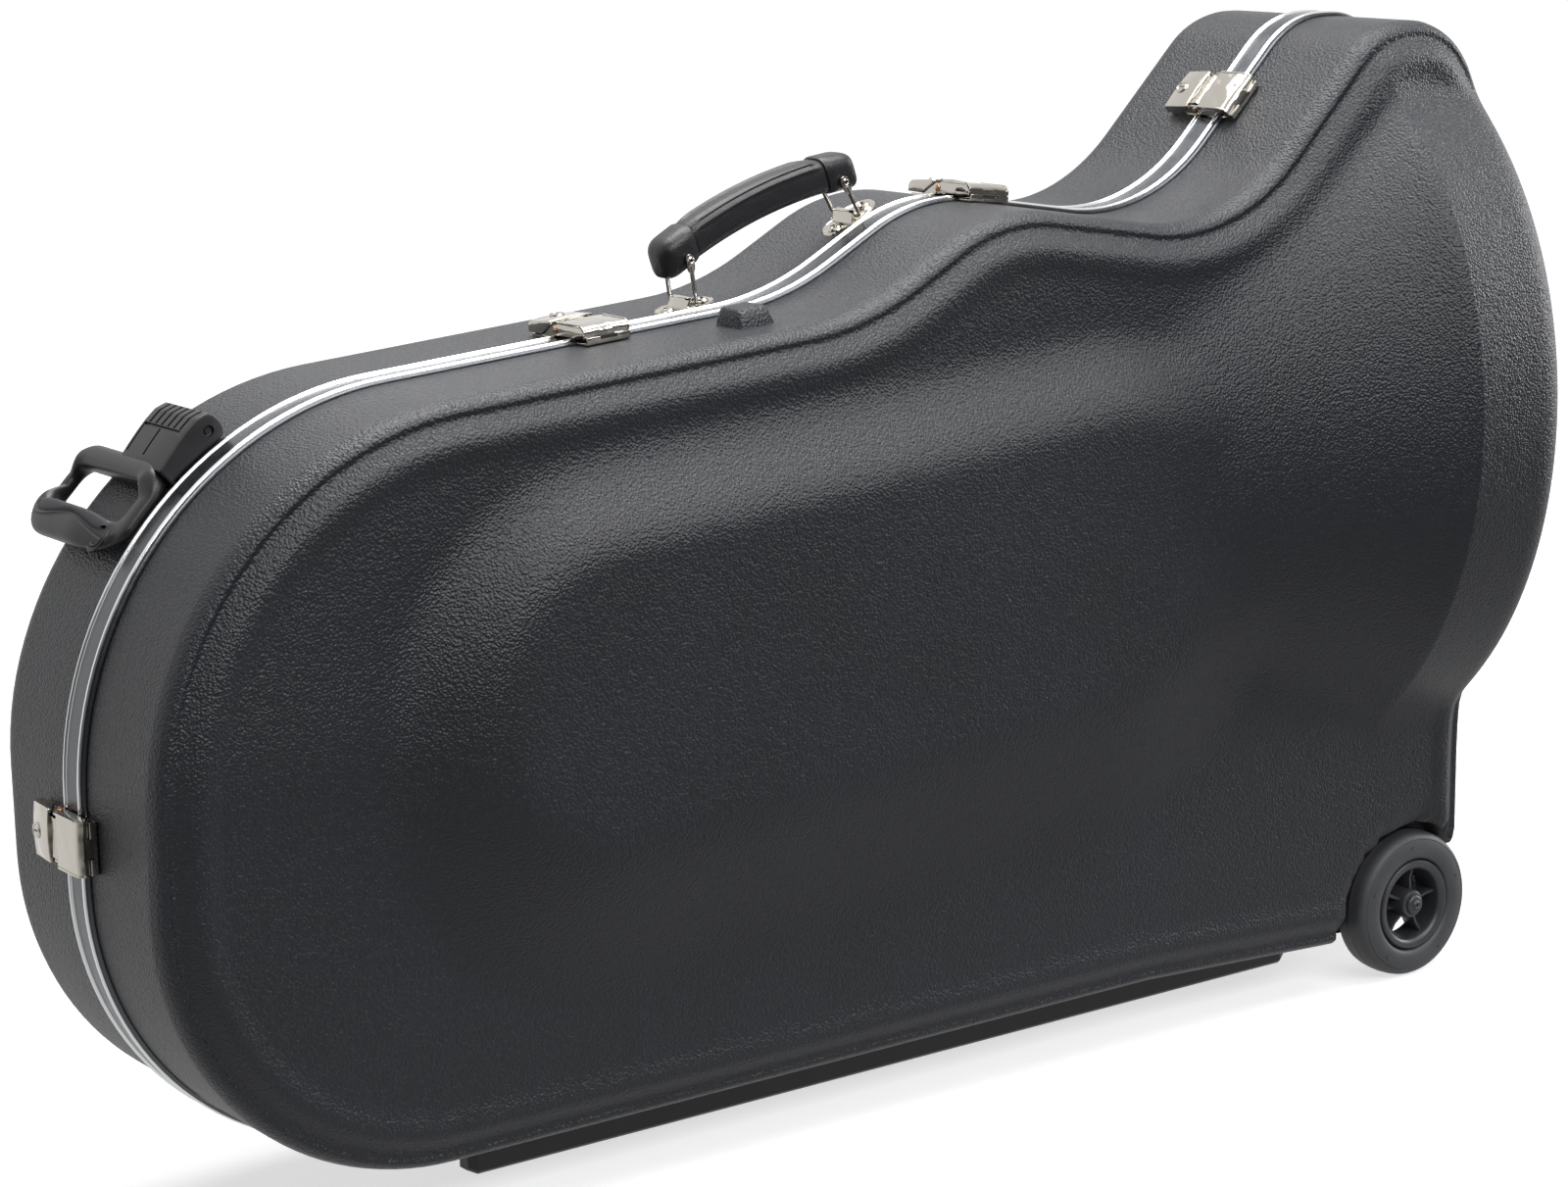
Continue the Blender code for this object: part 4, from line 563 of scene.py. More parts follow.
def makeShell(name, side, edgeY, body, replaces):
    bm = bmesh.new()
    order = bm.verts.layers.int.new("place")
    columns = len(topChain) - 1
    bmesh.ops.create_grid(bm, x_segments=columns, y_segments=rowCount, size=1.0)
    inner = edgeProfile[-1]
    for vert in bm.verts:
        i = round((vert.co.x + 1) / 2 * columns)
        j = round((vert.co.y + 1) / 2 * rowCount)
        low = atEdge(bottomChain[i], -inner[0])
        high = atEdge(topChain[i], -inner[0])
        p = low.lerp(high, j / rowCount)
        vert.co = (left(p.x), faceHeight(p.x, p.y, shell["ledgeY"] + inner[1], inner[0]), p.y)
        if j == rowCount:
            vert[order] = i
        elif i == columns:
            vert[order] = columns + rowCount - j
        elif j == 0:
            vert[order] = 2 * columns + rowCount - i
        elif i == 0:
            vert[order] = 2 * columns + rowCount + j
    edges = [e for e in bm.edges if e.is_boundary]
    stations = [(p.x, p.y, None) for p in reversed(smoothProfile(edgeProfile, 3)[:-1])]
    wallTop = shell["ledgeY"] + edgeProfile[0][1]
    stations += [(0.0, 0.0, share) for share in (0.06, 0.14, 0.25, 0.4, 0.55, 0.7, 0.85, 0.95, 1.0)]
    for inset, rise, share in stations:
        result = bmesh.ops.extrude_edge_only(bm, edges=edges)
        grown = newVerts(result)
        for vert in grown:
            p = atEdge(perimeter[vert[order]], -inset)
            if share is None:
                y = faceHeight(p.x, p.y, shell["ledgeY"] + rise, inset)
            else:
                high = faceHeight(p.x, p.y, wallTop, 0.0)
                y = high + (edgeY - high) * share
            vert.co = (left(p.x), y, p.y)
        fresh = set(grown)
        edges = [g for g in result["geom"] if isinstance(g, bmesh.types.BMEdge)
                 and g.verts[0] in fresh and g.verts[1] in fresh]
    bmesh.ops.contextual_create(bm, geom=edges)
    tidyFaces(bm)
    cutter = bmesh.new()
    bmesh.ops.create_cone(cutter, cap_ends=True, segments=96, radius1=shell["pocketRadius"],
                          radius2=shell["pocketRadius"], depth=0.2)
    turn = Matrix.Translation((left(shell["pocketX"]), shell["pocketFloorY"] + 0.1, shell["pocketZ"]))
    transformed(cutter, turn @ Matrix.Rotation(math.radians(90), 4, "X"))
    bm = cutWith(bm, cutter)
    seamFaces = [f for f in bm.faces if all(abs(v.co.y - edgeY) < 1e-5 for v in f.verts)]
    bmesh.ops.delete(bm, geom=seamFaces, context="FACES")
    bmesh.ops.remove_doubles(bm, verts=bm.verts, dist=1e-6)
    if side < 0:
        bmesh.ops.scale(bm, vec=(1.0, -1.0, 1.0), verts=bm.verts)
    bmesh.ops.recalc_face_normals(bm, faces=bm.faces)
    middle = max(bm.faces, key=lambda f: side * f.calc_center_median().y)
    if middle.normal.y * side < 0:
        bmesh.ops.reverse_faces(bm, faces=bm.faces)
    piece = finishPiece(bm, name, body, [finish["abs"], finish["plush"]], replaces, 38)
    wall = piece.modifiers.new("wall", "SOLIDIFY")
    wall.thickness = shell["wall"]
    wall.offset = -1.0
    wall.material_offset = 1
    return piece


makeShell("backShell", 1, shell["backEdgeY"], "case", ["back_shell"])
frontShell = makeShell("frontShell", -1, shell["frontEdgeY"], "lid", ["front_shell"])
print("shells made")


# Seam profiles, as (outward, y) stations of the extrusion

frameProfile = {
    "back": [(0.0020, -0.0057), (0.0020, -0.0020), (0.0020, 0.0030), (0.0019, 0.0080), (0.0020, 0.0087),
             (0.0027, 0.0090), (0.0032, 0.0094), (0.0033, 0.0099), (0.0030, 0.0104), (0.0020, 0.0108),
             (0.0003, 0.0108), (0.0003, 0.0043), (-0.0043, 0.0043), (-0.0043, 0.0090), (-0.0058, 0.0090),
             (-0.0058, -0.0057)],
    "front": [(0.0019, -0.0060), (0.0021, -0.0066), (0.0028, -0.0069), (0.0033, -0.0074), (0.0033, -0.0080),
              (0.0029, -0.0086), (0.0021, -0.0090), (0.0009, -0.0094), (0.0007, -0.0104), (0.0009, -0.0111),
              (0.0019, -0.0114), (0.0022, -0.0118), (0.0017, -0.0122), (0.0003, -0.0124), (0.0003, -0.0083),
              (-0.0043, -0.0083), (-0.0043, -0.0110), (-0.0058, -0.0110), (-0.0058, -0.0060)],
}


def makeSeamProfile(name, word, body, replaces):
    bm = bmesh.new()
    rings = []
    for sample in perimeter:
        ring = []
        for outward, y in frameProfile[word]:
            p = atEdge(sample, outward)
            ring.append(Vector((left(p.x), y, p.y)))
        rings.append(ring)

    def bandOrRidge(face):
        middle = sum(v.co.y for v in face.verts) / len(face.verts)
        if word == "back":
            return 0 if middle > 0.0083 else 1
        return 0 if -0.0091 < middle < -0.0065 else 1

    loftRings(bm, rings, loop=True, materialOf=bandOrRidge)
    tidyFaces(bm)
    return finishPiece(bm, name, body, [finish["bright"], finish["satin"]], replaces, 50)


makeSeamProfile("backSeamProfile", "back", "case", ["back_frame"])
makeSeamProfile("frontSeamProfile", "front", "lid", ["front_frame"])
print("seam profiles made")


def framed(origin, along):
    # frame in the plane of the seam: X along, Y to the back, Z out
    place = Matrix.Identity(4)
    place.col[0] = (along[0], 0.0, along[1], 0.0)
    place.col[2] = (-along[1], 0.0, along[0], 0.0)
    place.col[3] = (*origin, 1.0)
    return place


def bevelSharp(bm, offset, segments, angle=25, within=None):
    region = set(within) if within is not None else set(bm.verts)
    edges = [e for e in bm.edges if e.verts[0] in region and e.verts[1] in region
             and len(e.link_faces) == 2 and e.calc_face_angle(0.0) > math.radians(angle)]
    bmesh.ops.bevel(bm, geom=edges, offset=offset, offset_type="OFFSET", segments=segments,
                    profile=0.5, affect="EDGES", material=-1, clamp_overlap=True)


def paint(bm, verts, index):
    chosen = set(verts)
    for face in bm.faces:
        if all(v in chosen for v in face.verts):
            face.material_index = index


def spinAt(bm, profile, place, steps=32, closed=False):
    # a turned form set down at its place
    grown = spinProfile(bm, profile + profile[:1] if closed else profile, steps)
    bmesh.ops.transform(bm, matrix=place, verts=grown)
    return grown


def sweepTube(bm, path, radius, sides=14, side=Vector((1.0, 0.0, 0.0))):
    rings = []
    for k, point in enumerate(path):
        along = (path[min(k + 1, len(path) - 1)] - path[max(k - 1, 0)]).normalized()
        up = along.cross(side).normalized()
        across = up.cross(along)
        ring = []
        for i in range(sides):
            angle = 2 * math.pi * i / sides
            ring.append(point + (across * math.cos(angle) + up * math.sin(angle)) * radius)
        rings.append(ring)
    return loftRings(bm, rings)


# Latches: X along the seam, Y to the back, Z out of the case, all from the seat

latch = {
    "half": 0.0155, "pinY": 0.0080, "pinZ": 0.0065, "lockY": 0.0295, "crown": 0.0010,
    "sheet": 0.0011, "slotHalf": 0.0052, "catchHalf": 0.0148, "frontY": -0.0226, "rollRadius": 0.0040,
}


def latchSeat(k):
    return jointMatrix(f"lever_{k}_pivot") @ Matrix.Translation((0.0, -latch["pinY"], -latch["pinZ"]))


def makeLever(k):
    # pressed cover: crowned top, rear wall and two tapering side walls, open below
    half = latch["half"] - 0.0002
    bm = bmesh.new()
    outline = [(0.0380, 0.0024), (0.0380, 0.0062), (0.0370, 0.0082), (0.0346, 0.0095), (0.0142, 0.0110),
               (0.0142, 0.0086), (0.0240, 0.0022)]
    extrudeOutline(bm, outline, -half, half, "yzx", cuts=9)
    for vert in bm.verts:
        if vert.co.z > 0.0080:
            vert.co.z += latch["crown"] * (1.0 - (vert.co.x / half) ** 2)
    bmesh.ops.recalc_face_normals(bm, faces=bm.faces)
    bevelSharp(bm, 0.0007, 3, 40)
    tidyFaces(bm)
    hollow = bmesh.new()
    sheet = latch["sheet"]
    inside = [(0.0380 - sheet, -0.0020), (0.0380 - sheet, 0.0062), (0.0340, 0.0083), (0.0100, 0.0098), (0.0100, -0.0020)]
    extrudeOutline(hollow, inside, sheet - half, half - sheet, "yzx")
    tidyFaces(hollow)
    bm = cutWith(bm, hollow)
    barrel = bmesh.ops.create_cone(bm, cap_ends=True, segments=28, radius1=0.0042, radius2=0.0042, depth=0.023)
    turn = Matrix.Translation((0.0, latch["pinY"], latch["pinZ"])) @ Matrix.Rotation(math.radians(90), 4, "Y")
    bmesh.ops.transform(bm, matrix=turn, verts=barrel["verts"])
    extrudeOutline(bm, [(0.0060, 0.0100), (0.0160, 0.0101), (0.0160, 0.0092), (0.0060, 0.0091)], -0.0115, 0.0115, "yzx")
    tidyFaces(bm)
    transformed(bm, latchSeat(k))
    finishPiece(bm, f"latchLever{k}", f"lever_{k}", [finish["nickel"]], [f"latch_{k}_lever"], 32)


def makeLock(k):
    bm = bmesh.new()
    face = 0.0118
    spinProfile(bm, [(0.0, 0.0060), (0.0046, 0.0060), (0.0046, face - 0.0005), (0.0042, face), (0.0036, face),
                     (0.0031, face - 0.0005), (0.0028, face - 0.0002), (0.0, face - 0.0002)], 36)
    # painted shade: the keyway is a thin near-black plate flush with the face, standing for the shade in the slot
    slot = extrudeOutline(bm, roundedOutline((-0.00045, -0.0022), (0.00045, 0.0022), 0.0003, 2),
                          face - 0.0006, face - 0.00015)
    paint(bm, slot, 1)
    tidyFaces(bm)
    transformed(bm, latchSeat(k) @ Matrix.Translation((0.0, latch["lockY"], 0.0)))
    finishPiece(bm, f"latchLock{k}", f"lock_{k}", [finish["nickel"], finish["dark"]], [f"latch_{k}_lock"])


def makeHasp(k):
    # draw plate: a sheet rolled over the front, cheeks with raised rims down to the pin
    half = latch["half"]
    bm = bmesh.new()
    centre = (latch["frontY"] + latch["rollRadius"], 0.0112 - latch["rollRadius"])
    outer = [(0.0037, 0.0112), (-0.0060, 0.0112)] + arcPoints(centre, latch["rollRadius"], 90, 180, 7)
    outer += [(latch["frontY"], 0.0064), (latch["frontY"], 0.0052)]
    inner = [(latch["frontY"] + 0.0011, 0.0052)] + arcPoints(centre, latch["rollRadius"] - 0.0011, 180, 90, 7)
    inner += [(0.0037, 0.0101)]
    extrudeOutline(bm, outer + inner, -half, half, "yzx", cuts=23)
    for vert in bm.verts:
        share = 1.0 - (vert.co.x / half) ** 2
        if vert.co.z > 0.0095:
            vert.co.z += 0.0005 * share
        if vert.co.y < -0.0200 and vert.co.z < 0.0080:
            # shallow scoop over the catch's slot
            vert.co.y += 0.0007 * math.exp(-((vert.co.x / 0.006) ** 2))
    cheek = [(latch["frontY"] + 0.0004, 0.0040), (0.0060, 0.0037)]
    cheek += arcPoints((latch["pinY"], latch["pinZ"]), 0.0030, -70, 100, 7)
    cheek += [(0.0034, 0.0108), (centre[0], 0.0108), (latch["frontY"] + 0.0007, 0.0074)]
    rim = [(0.0036, 0.0108), (0.0036, 0.0118), (centre[0], 0.0118)]
    rim += arcPoints(centre, latch["rollRadius"] + 0.0005, 80, 180, 6)
    rim += [(latch["frontY"] - 0.0005, 0.0056), (latch["frontY"] + 0.0004, 0.0056),
            (latch["frontY"] + 0.0004, centre[1]), (centre[0], 0.0108)]
    for side in (-1, 1):
        low, high = sorted((side * (half - 0.0012), side * half))
        extrudeOutline(bm, cheek, low, high, "yzx", bevel=0.0002)
        low, high = sorted((side * (half - 0.0009), side * (half + 0.0001)))
        extrudeOutline(bm, rim, low, high, "yzx", bevel=0.0002)
    slot = latch["slotHalf"]
    # painted shade: the hook seen through the catch's notch is near-black, standing for the shade inside the slot
    hook = extrudeOutline(bm, [(-0.0237, 0.0030), (-0.0217, 0.0030), (-0.0217, 0.0056), (-0.0237, 0.0050)],
                          -slot, slot, "yzx")
    paint(bm, hook, 1)
    tidyFaces(bm)
    transformed(bm, latchSeat(k))
    finishPiece(bm, f"latchHasp{k}", f"hasp_{k}", [finish["nickel"], finish["dark"]], [f"latch_{k}_hasp"], 32)


def makeCatch(k):
    # bent strike on the lid with a slot in its lip
    half = latch["catchHalf"]
    front = -0.0245
    bm = bmesh.new()
    profile = [(-0.0127, 0.0003), (front + 0.0008, 0.0003), (front, 0.0011), (front, 0.0050), (front + 0.0012, 0.0050),
               (front + 0.0012, 0.0016), (-0.0127, 0.0016)]
    extrudeOutline(bm, profile, -half, half, "yzx", bevel=0.0003)
    bmesh.ops.recalc_face_normals(bm, faces=bm.faces)
    notch = bmesh.new()
    slot = latch["slotHalf"] + 0.0006
    extrudeOutline(notch, roundedOutline((-slot, 0.0031), (slot, 0.0080), 0.0008, 3), -0.0300, -0.0200, "xzy")
    bmesh.ops.recalc_face_normals(notch, faces=notch.faces)
    bm = cutWith(bm, notch)
    tidyFaces(bm)
    transformed(bm, latchSeat(k))
    finishPiece(bm, f"latchCatch{k}", "lid", [finish["nickel"]], [f"latch_{k}_catch"], 32)


def makePinHeads():
    # brass heads of the four latch pins, outside the cheeks
    bm = bmesh.new()
    for k in (1, 2, 3, 4):
        for side in (-1, 1):
            turn = Matrix.Translation((side * (latch["half"] + 0.0002), latch["pinY"], latch["pinZ"]))
            turn = latchSeat(k) @ turn @ Matrix.Rotation(side * math.radians(90), 4, "Y")
            spinAt(bm, [(0.0, 0.0), (0.0019, 0.0), (0.0017, 0.0004), (0.0010, 0.0007), (0.0, 0.0008)], turn, 20)
    tidyFaces(bm)
    finishPiece(bm, "latchPinHeads", "case", [finish["brass"]])


for number in (1, 2, 3, 4):
    makeLever(number)
    makeLock(number)
    makeHasp(number)
    makeCatch(number)
    dressNode(f"latch_{number}_base", finish["nickel"])
makePinHeads()
print("latches made")


# Carrying handle: two riveted oval plates, two wire bails and a leather grip

handle = {
    "y": 0.027, "plateLength": 0.040, "plateWidth": 0.028, "pivotHeight": 0.0036,
    "plateAlong": {1: (0.986856, 0.161604), 2: (0.872922, 0.487859)},
    "pins": {1: (-0.069536, 0.519348), 2: (0.045802, 0.557397)},
    "wire": 0.0014, "halfWidth": 0.0138, "bend": 0.0030, "rivetPlace": 0.0125,
    "overhang": 0.015, "rise": 0.009, "capLength": 0.024, "bodyHeight": 0.0215, "bodyWidth": 0.0225,
    "capHeight": 0.0240, "capWidth": 0.0245,
}


def bailPivot(k):
    joint = next(j for j in frame["joints"] if j["name"] == f"bail_{k}_pivot")
    return Vector(joint["pos_m"])


def bailFrame(k):
    # Z runs up the legs from the pivot, and the length comes with it
    pivot = bailPivot(k)
    tip = Vector((handle["pins"][k][0], handle["y"], handle["pins"][k][1]))
    up = (tip - pivot).normalized()
    return framed(pivot, (up.z, -up.x)), (tip - pivot).length


def makePlate(k):
    pivot = bailPivot(k)
    along = handle["plateAlong"][k]
    place = framed(pivot, along) @ Matrix.Translation((0.0, 0.0, -handle["pivotHeight"]))
    bm = bmesh.new()
    radius = handle["plateLength"] / 2
    oval = spinProfile(bm, [(0.0, 0.0003), (radius - 0.0004, 0.0003), (radius, 0.0007), (radius - 0.0006, 0.0015),
                            (radius - 0.0018, 0.0019), (radius - 0.0030, 0.0014), (radius - 0.0060, 0.0012),
                            (0.0, 0.0015)], 64)
    bmesh.ops.scale(bm, vec=(1.0, handle["plateWidth"] / handle["plateLength"], 1.0), verts=oval)
    # hollow rivets at the two ends
    for side in (-1, 1):
        spot = Matrix.Translation((side * handle["rivetPlace"], 0.0, 0.0))
        ring = [(0.0, 0.0016), (0.0014, 0.0014), (0.0019, 0.0022), (0.0026, 0.0028), (0.0036, 0.0027),
                (0.0043, 0.0019), (0.0044, 0.0008), (0.0, 0.0008)]
        spinAt(bm, ring, spot, 28)
    # arched saddle over the bail's foot
    hold = handle["halfWidth"] - handle["wire"] - 0.0026
    arch = [(-0.0062, 0.0012), (-0.0052, 0.0022)]
    arch += arcPoints((0.0, handle["pivotHeight"]), 0.0034, 155, 25, 8)
    arch += [(0.0052, 0.0022), (0.0062, 0.0012)]
    extrudeOutline(bm, arch, -hold, hold, "xzy", bevel=0.0004)
    tidyFaces(bm)
    transformed(bm, place)
    finishPiece(bm, f"handlePlate{k}", "case", [finish["nickel"]], [f"handle_plate_{k}"], 34)


def makeBail(k):
    place, length = bailFrame(k)
    w = handle["halfWidth"]
    bend = handle["bend"]
    bm = bmesh.new()
    foot = arcPoints((w - bend, bend), bend, 0, -90, 6) + arcPoints((-w + bend, bend), bend, 270, 180, 6)
    path = [Vector((0.0, w, length - 0.0030)), Vector((0.0, w, length * 0.5))]
    path += [Vector((0.0, a, b)) for a, b in foot]
    path += [Vector((0.0, -w, length * 0.5)), Vector((0.0, -w, length - 0.0030))]
    sweepTube(bm, path, handle["wire"], 16)
    for side in (-1, 1):
        # flattened tab with a waist where it meets the wire
        tab = [(-0.0013, length - 0.0078), (0.0013, length - 0.0078), (0.0022, length - 0.0062), (0.0027, length - 0.0035)]
        tab += arcPoints((0.0, length + 0.0012), 0.0027, 0, 180, 8)
        tab += [(-0.0027, length - 0.0035), (-0.0022, length - 0.0062)]
        extrudeOutline(bm, tab, side * w - 0.0009, side * w + 0.0009, "xzy", bevel=0.0003)
    tidyFaces(bm)
    transformed(bm, place)
    finishPiece(bm, f"handleBail{k}", f"bail_{k}", [finish["nickel"]], [f"handle_bail_{k}"], 34)
    # hollow rivet through both tabs and the grip
    reach = w + 0.0009
    bm = bmesh.new()
    end = [(0.0, 0.0002), (0.0010, 0.0002), (0.0012, 0.0008), (0.0016, 0.0011), (0.0021, 0.0009), (0.0024, 0.0), (0.0, 0.0)]
    for side in (-1, 1):
        turn = Matrix.Translation((0.0, side * reach, length)) @ Matrix.Rotation(-side * math.radians(90), 4, "X")
        spinAt(bm, end, turn, 24)
        # painted shade: a thin near-black disc on the rivet's end stands for the shade in its bore
        hole = spinAt(bm, [(0.0, 0.0003), (0.0011, 0.0003), (0.0011, 0.00035), (0.0, 0.00035)], turn, 16)
        paint(bm, hole, 1)
    shank = bmesh.ops.create_cone(bm, cap_ends=True, segments=20, radius1=0.0015, radius2=0.0015, depth=2 * reach)
    turn = Matrix.Translation((0.0, 0.0, length)) @ Matrix.Rotation(math.radians(90), 4, "X")
    bmesh.ops.transform(bm, matrix=turn, verts=shank["verts"])
    tidyFaces(bm)
    transformed(bm, place)
    finishPiece(bm, f"handleRivet{k}", f"bail_{k}", [finish["nickel"], finish["dark"]], [f"handle_pin_{k}"], 34)


def gripSection(s, middle, reach, span):
    # rounded box section with two piped ridges on each side of its top
    fromEnd = min(s, span - s) + handle["overhang"]
    cap = fromEnd < handle["capLength"]
    height = (handle["capHeight"] if cap else handle["bodyHeight"]) / 2
    width = (handle["capWidth"] if cap else handle["bodyWidth"]) / 2
    if fromEnd < 0.009:
        share = fromEnd / 0.009
        tight = 0.52 + 0.48 * math.sqrt(max(0.0, 1.0 - (1.0 - share) ** 2))
        height *= tight
        width *= 0.30 + 0.70 * math.sqrt(max(0.0, 1.0 - (1.0 - share) ** 2)) if share < 1 else 1.0
    centre = 0.002 + handle["rise"] * (1.0 - ((s - middle) / reach) ** 2)
    fade = clamp((fromEnd - handle["capLength"] - 0.0006) / 0.010)
    ring = []
    count = 72
    for i in range(count):
        t = 2 * math.pi * i / count
        c = math.cos(t)
        n = math.sin(t)
        power = 2 / 3.4
        y = math.copysign(abs(c) ** power, c) * width
        z = math.copysign(abs(n) ** power, n) * height
        if n > 0:
            up = math.degrees(math.asin(min(1.0, abs(n))))
            ridge = 0.0010 * math.exp(-((up - 58) / 7) ** 2) - 0.0012 * math.exp(-((up - 42) / 5) ** 2)
            ridge += 0.0008 * math.exp(-((up - 27) / 6) ** 2) - 0.0009 * math.exp(-((up - 74) / 5) ** 2)
            y += math.copysign(ridge * 1.35 * fade, c)
            z += ridge * 1.15 * fade
        ring.append(Vector((s, y, centre + z)))
    return ring


def makeGrip():
    first = Vector((handle["pins"][1][0], handle["y"], handle["pins"][1][1]))
    second = Vector((handle["pins"][2][0], handle["y"], handle["pins"][2][1]))
    run = second - first
    span = run.length
    along = run.normalized()
    middle = span / 2
    reach = middle + handle["overhang"]
    seamAt = handle["capLength"] - handle["overhang"]
    stations = [-handle["overhang"] + d for d in (0.0, 0.0004, 0.0010, 0.0018, 0.0030, 0.0045, 0.0065, 0.0090, 0.013, 0.018)]
    stations += [seamAt - 0.0016, seamAt - 0.0005, seamAt - 0.0001, seamAt + 0.0002, seamAt + 0.0012]
    inner = [seamAt + 0.0030 + (span - 2 * seamAt - 0.0060) * k / 44 for k in range(45)]
    stations = stations + inner + [span - s for s in reversed(stations)]
    bm = bmesh.new()
    rings = []
    for s in stations:
        ring = gripSection(s, middle, reach, span)
        fromEnd = min(s, span - s) - seamAt
        if -0.0006 < fromEnd < 0.0004:
            # stitched edge of the end cap
            centre = sum(ring, Vector()) / len(ring)
            ring = [centre + (p - centre) * 0.962 for p in ring]
        rings.append(ring)
    loftRings(bm, rings)
    tidyFaces(bm)
    transformed(bm, framed(first, (along.x, along.z)))
    finishPiece(bm, "leatherGrip", "grip", [finish["leather"]], ["handle_grip"], 45)


for number in (1, 2):
    makePlate(number)
    makeBail(number)
makeGrip()
print("carrying handle made")


# Tow handle: modelled flat as (along the case, back, out) and then wrapped round its corner

tow = {
    "near": 0.0125, "panelFar": 0.0625, "loopFar": 0.1120, "angle": 120.8, "pinHeight": 0.0114, "ribs": 7,
    "under": 0.0030, "loopUnder": 0.0012, "barTop": 0.0092, "yokeTop": 0.0150, "gripTop": 0.0176,
    "loopFrom": 0.0275, "loopTo": 0.0862, "window": (0.0415, 0.0245, 0.0665, 0.1045),
    # edge between the soft pad and the grip's outer shell
    "padEdge": 0.0742, "padSway": 0.0026,
}


def gripTop(y):
    # the grip climbs from the near bar toward the far side
    t = clamp((y - 0.016) / 0.040)
    return tow["barTop"] + (tow["gripTop"] - tow["barTop"]) * t * t * (3.0 - 2.0 * t) - 0.0012 * clamp((y - 0.088) / 0.024)


def padEdge(y):
    return tow["padEdge"] - tow["padSway"] * math.cos((y - 0.062) / 0.036 * math.pi)


def wrapCorner(bm):
    corners = outlineCorners()
    samples = cornerArc(corners[0], corners[1], corners[2], seam["radii"][1], 2)
    centre = samples[0][0] + samples[0][1] * seam["radii"][1]
    radius = seam["radii"][1] - seam["proud"]
    for vert in bm.verts:
        angle = math.radians(tow["angle"]) + vert.co.x / radius
        reach = radius + vert.co.z
        vert.co = (left(centre.x + math.cos(angle) * reach), vert.co.y, centre.y + math.sin(angle) * reach)
    tidyFaces(bm)


def sliceAlong(bm, stations):
    for s in stations:
        bmesh.ops.bisect_plane(bm, geom=list(bm.verts) + list(bm.edges) + list(bm.faces), dist=1e-7,
                               plane_co=(s, 0.0, 0.0), plane_no=(1.0, 0.0, 0.0))


def ringOutline(low, high, radius, steps, fill):
    # rounded rectangle with as many points on every side
    corners = [((high[0] - radius, high[1] - radius), 0), ((low[0] + radius, high[1] - radius), 90),
               ((low[0] + radius, low[1] + radius), 180), ((high[0] - radius, low[1] + radius), 270)]
    arcs = [arcPoints(centre, radius, start, start + 90, steps) for centre, start in corners]
    points = []
    for k, run in enumerate(arcs):
        points += run
        a = Vector(run[-1])
        b = Vector(arcs[(k + 1) % 4][0])
        points += [tuple(a.lerp(b, i / fill)) for i in range(1, fill)]
    return points


def makeTowBlock(bm):
    # knuckle with seven ribs over the pin, and the panel that runs down from it
    near = tow["near"]
    far = tow["panelFar"]
    profile = [(-0.0062, 0.0046), (-0.0079, 0.0080), (-0.0079, 0.0122), (-0.0066, 0.0166), (-0.0044, 0.0202),
               (0.0022, 0.0213), (0.0098, 0.0200), (0.0340, 0.0140), (0.0340, 0.0012), (0.0322, 0.0012),
               (0.0315, tow["under"]), (0.0010, tow["under"]), (-0.0030, 0.0032)]
    extrudeOutline(bm, profile, near, far, "xzy")
    bmesh.ops.recalc_face_normals(bm, faces=bm.faces)
    bevelSharp(bm, 0.0009, 3, 32)
    tidyFaces(bm)
    cuts = bmesh.new()
    pitch = (far - near) / tow["ribs"]
    for k in range(1, tow["ribs"]):
        y = near + pitch * k
        over = [(-0.0120, 0.0080), (-0.0068, 0.0080), (-0.0053, 0.0158), (-0.0034, 0.0188), (0.0022, 0.0197),
                (0.0092, 0.0185), (0.0104, 0.0192), (0.0104, 0.0240), (-0.0120, 0.0240)]
        extrudeOutline(cuts, over, y - 0.0011, y + 0.0011, "xzy")
    tidyFaces(cuts)
    bm = cutWith(bm, cuts)
    cuts = bmesh.new()
    cross = [(0.0108, 0.0184), (0.0124, 0.0180), (0.0124, 0.0240), (0.0108, 0.0240)]
    extrudeOutline(cuts, cross, near + 0.0055, far - 0.0022, "xzy")
    tidyFaces(cuts)
    bm = cutWith(bm, cuts)
    cuts = bmesh.new()
    sunk = [(0.0126, 0.0180), (0.0280, 0.0143), (0.0280, 0.0240), (0.0126, 0.0240)]
    extrudeOutline(cuts, sunk, near + 0.0262, near + 0.0280, "xzy")
    extrudeOutline(cuts, sunk, far - 0.0040, far - 0.0024, "xzy")
    bmesh.ops.recalc_face_normals(cuts, faces=cuts.faces)
    bm = cutWith(bm, cuts)
    hole = bmesh.new()
    spinAt(hole, [(0.0, -0.001), (0.0031, -0.001), (0.0031, 0.0022), (0.0024, 0.0026), (0.0, 0.0026)],
           Matrix.Translation((0.0, near, tow["pinHeight"])) @ Matrix.Rotation(math.radians(-90), 4, "X"), 28)
    bmesh.ops.recalc_face_normals(hole, faces=hole.faces)
    return cutWith(bm, hole)


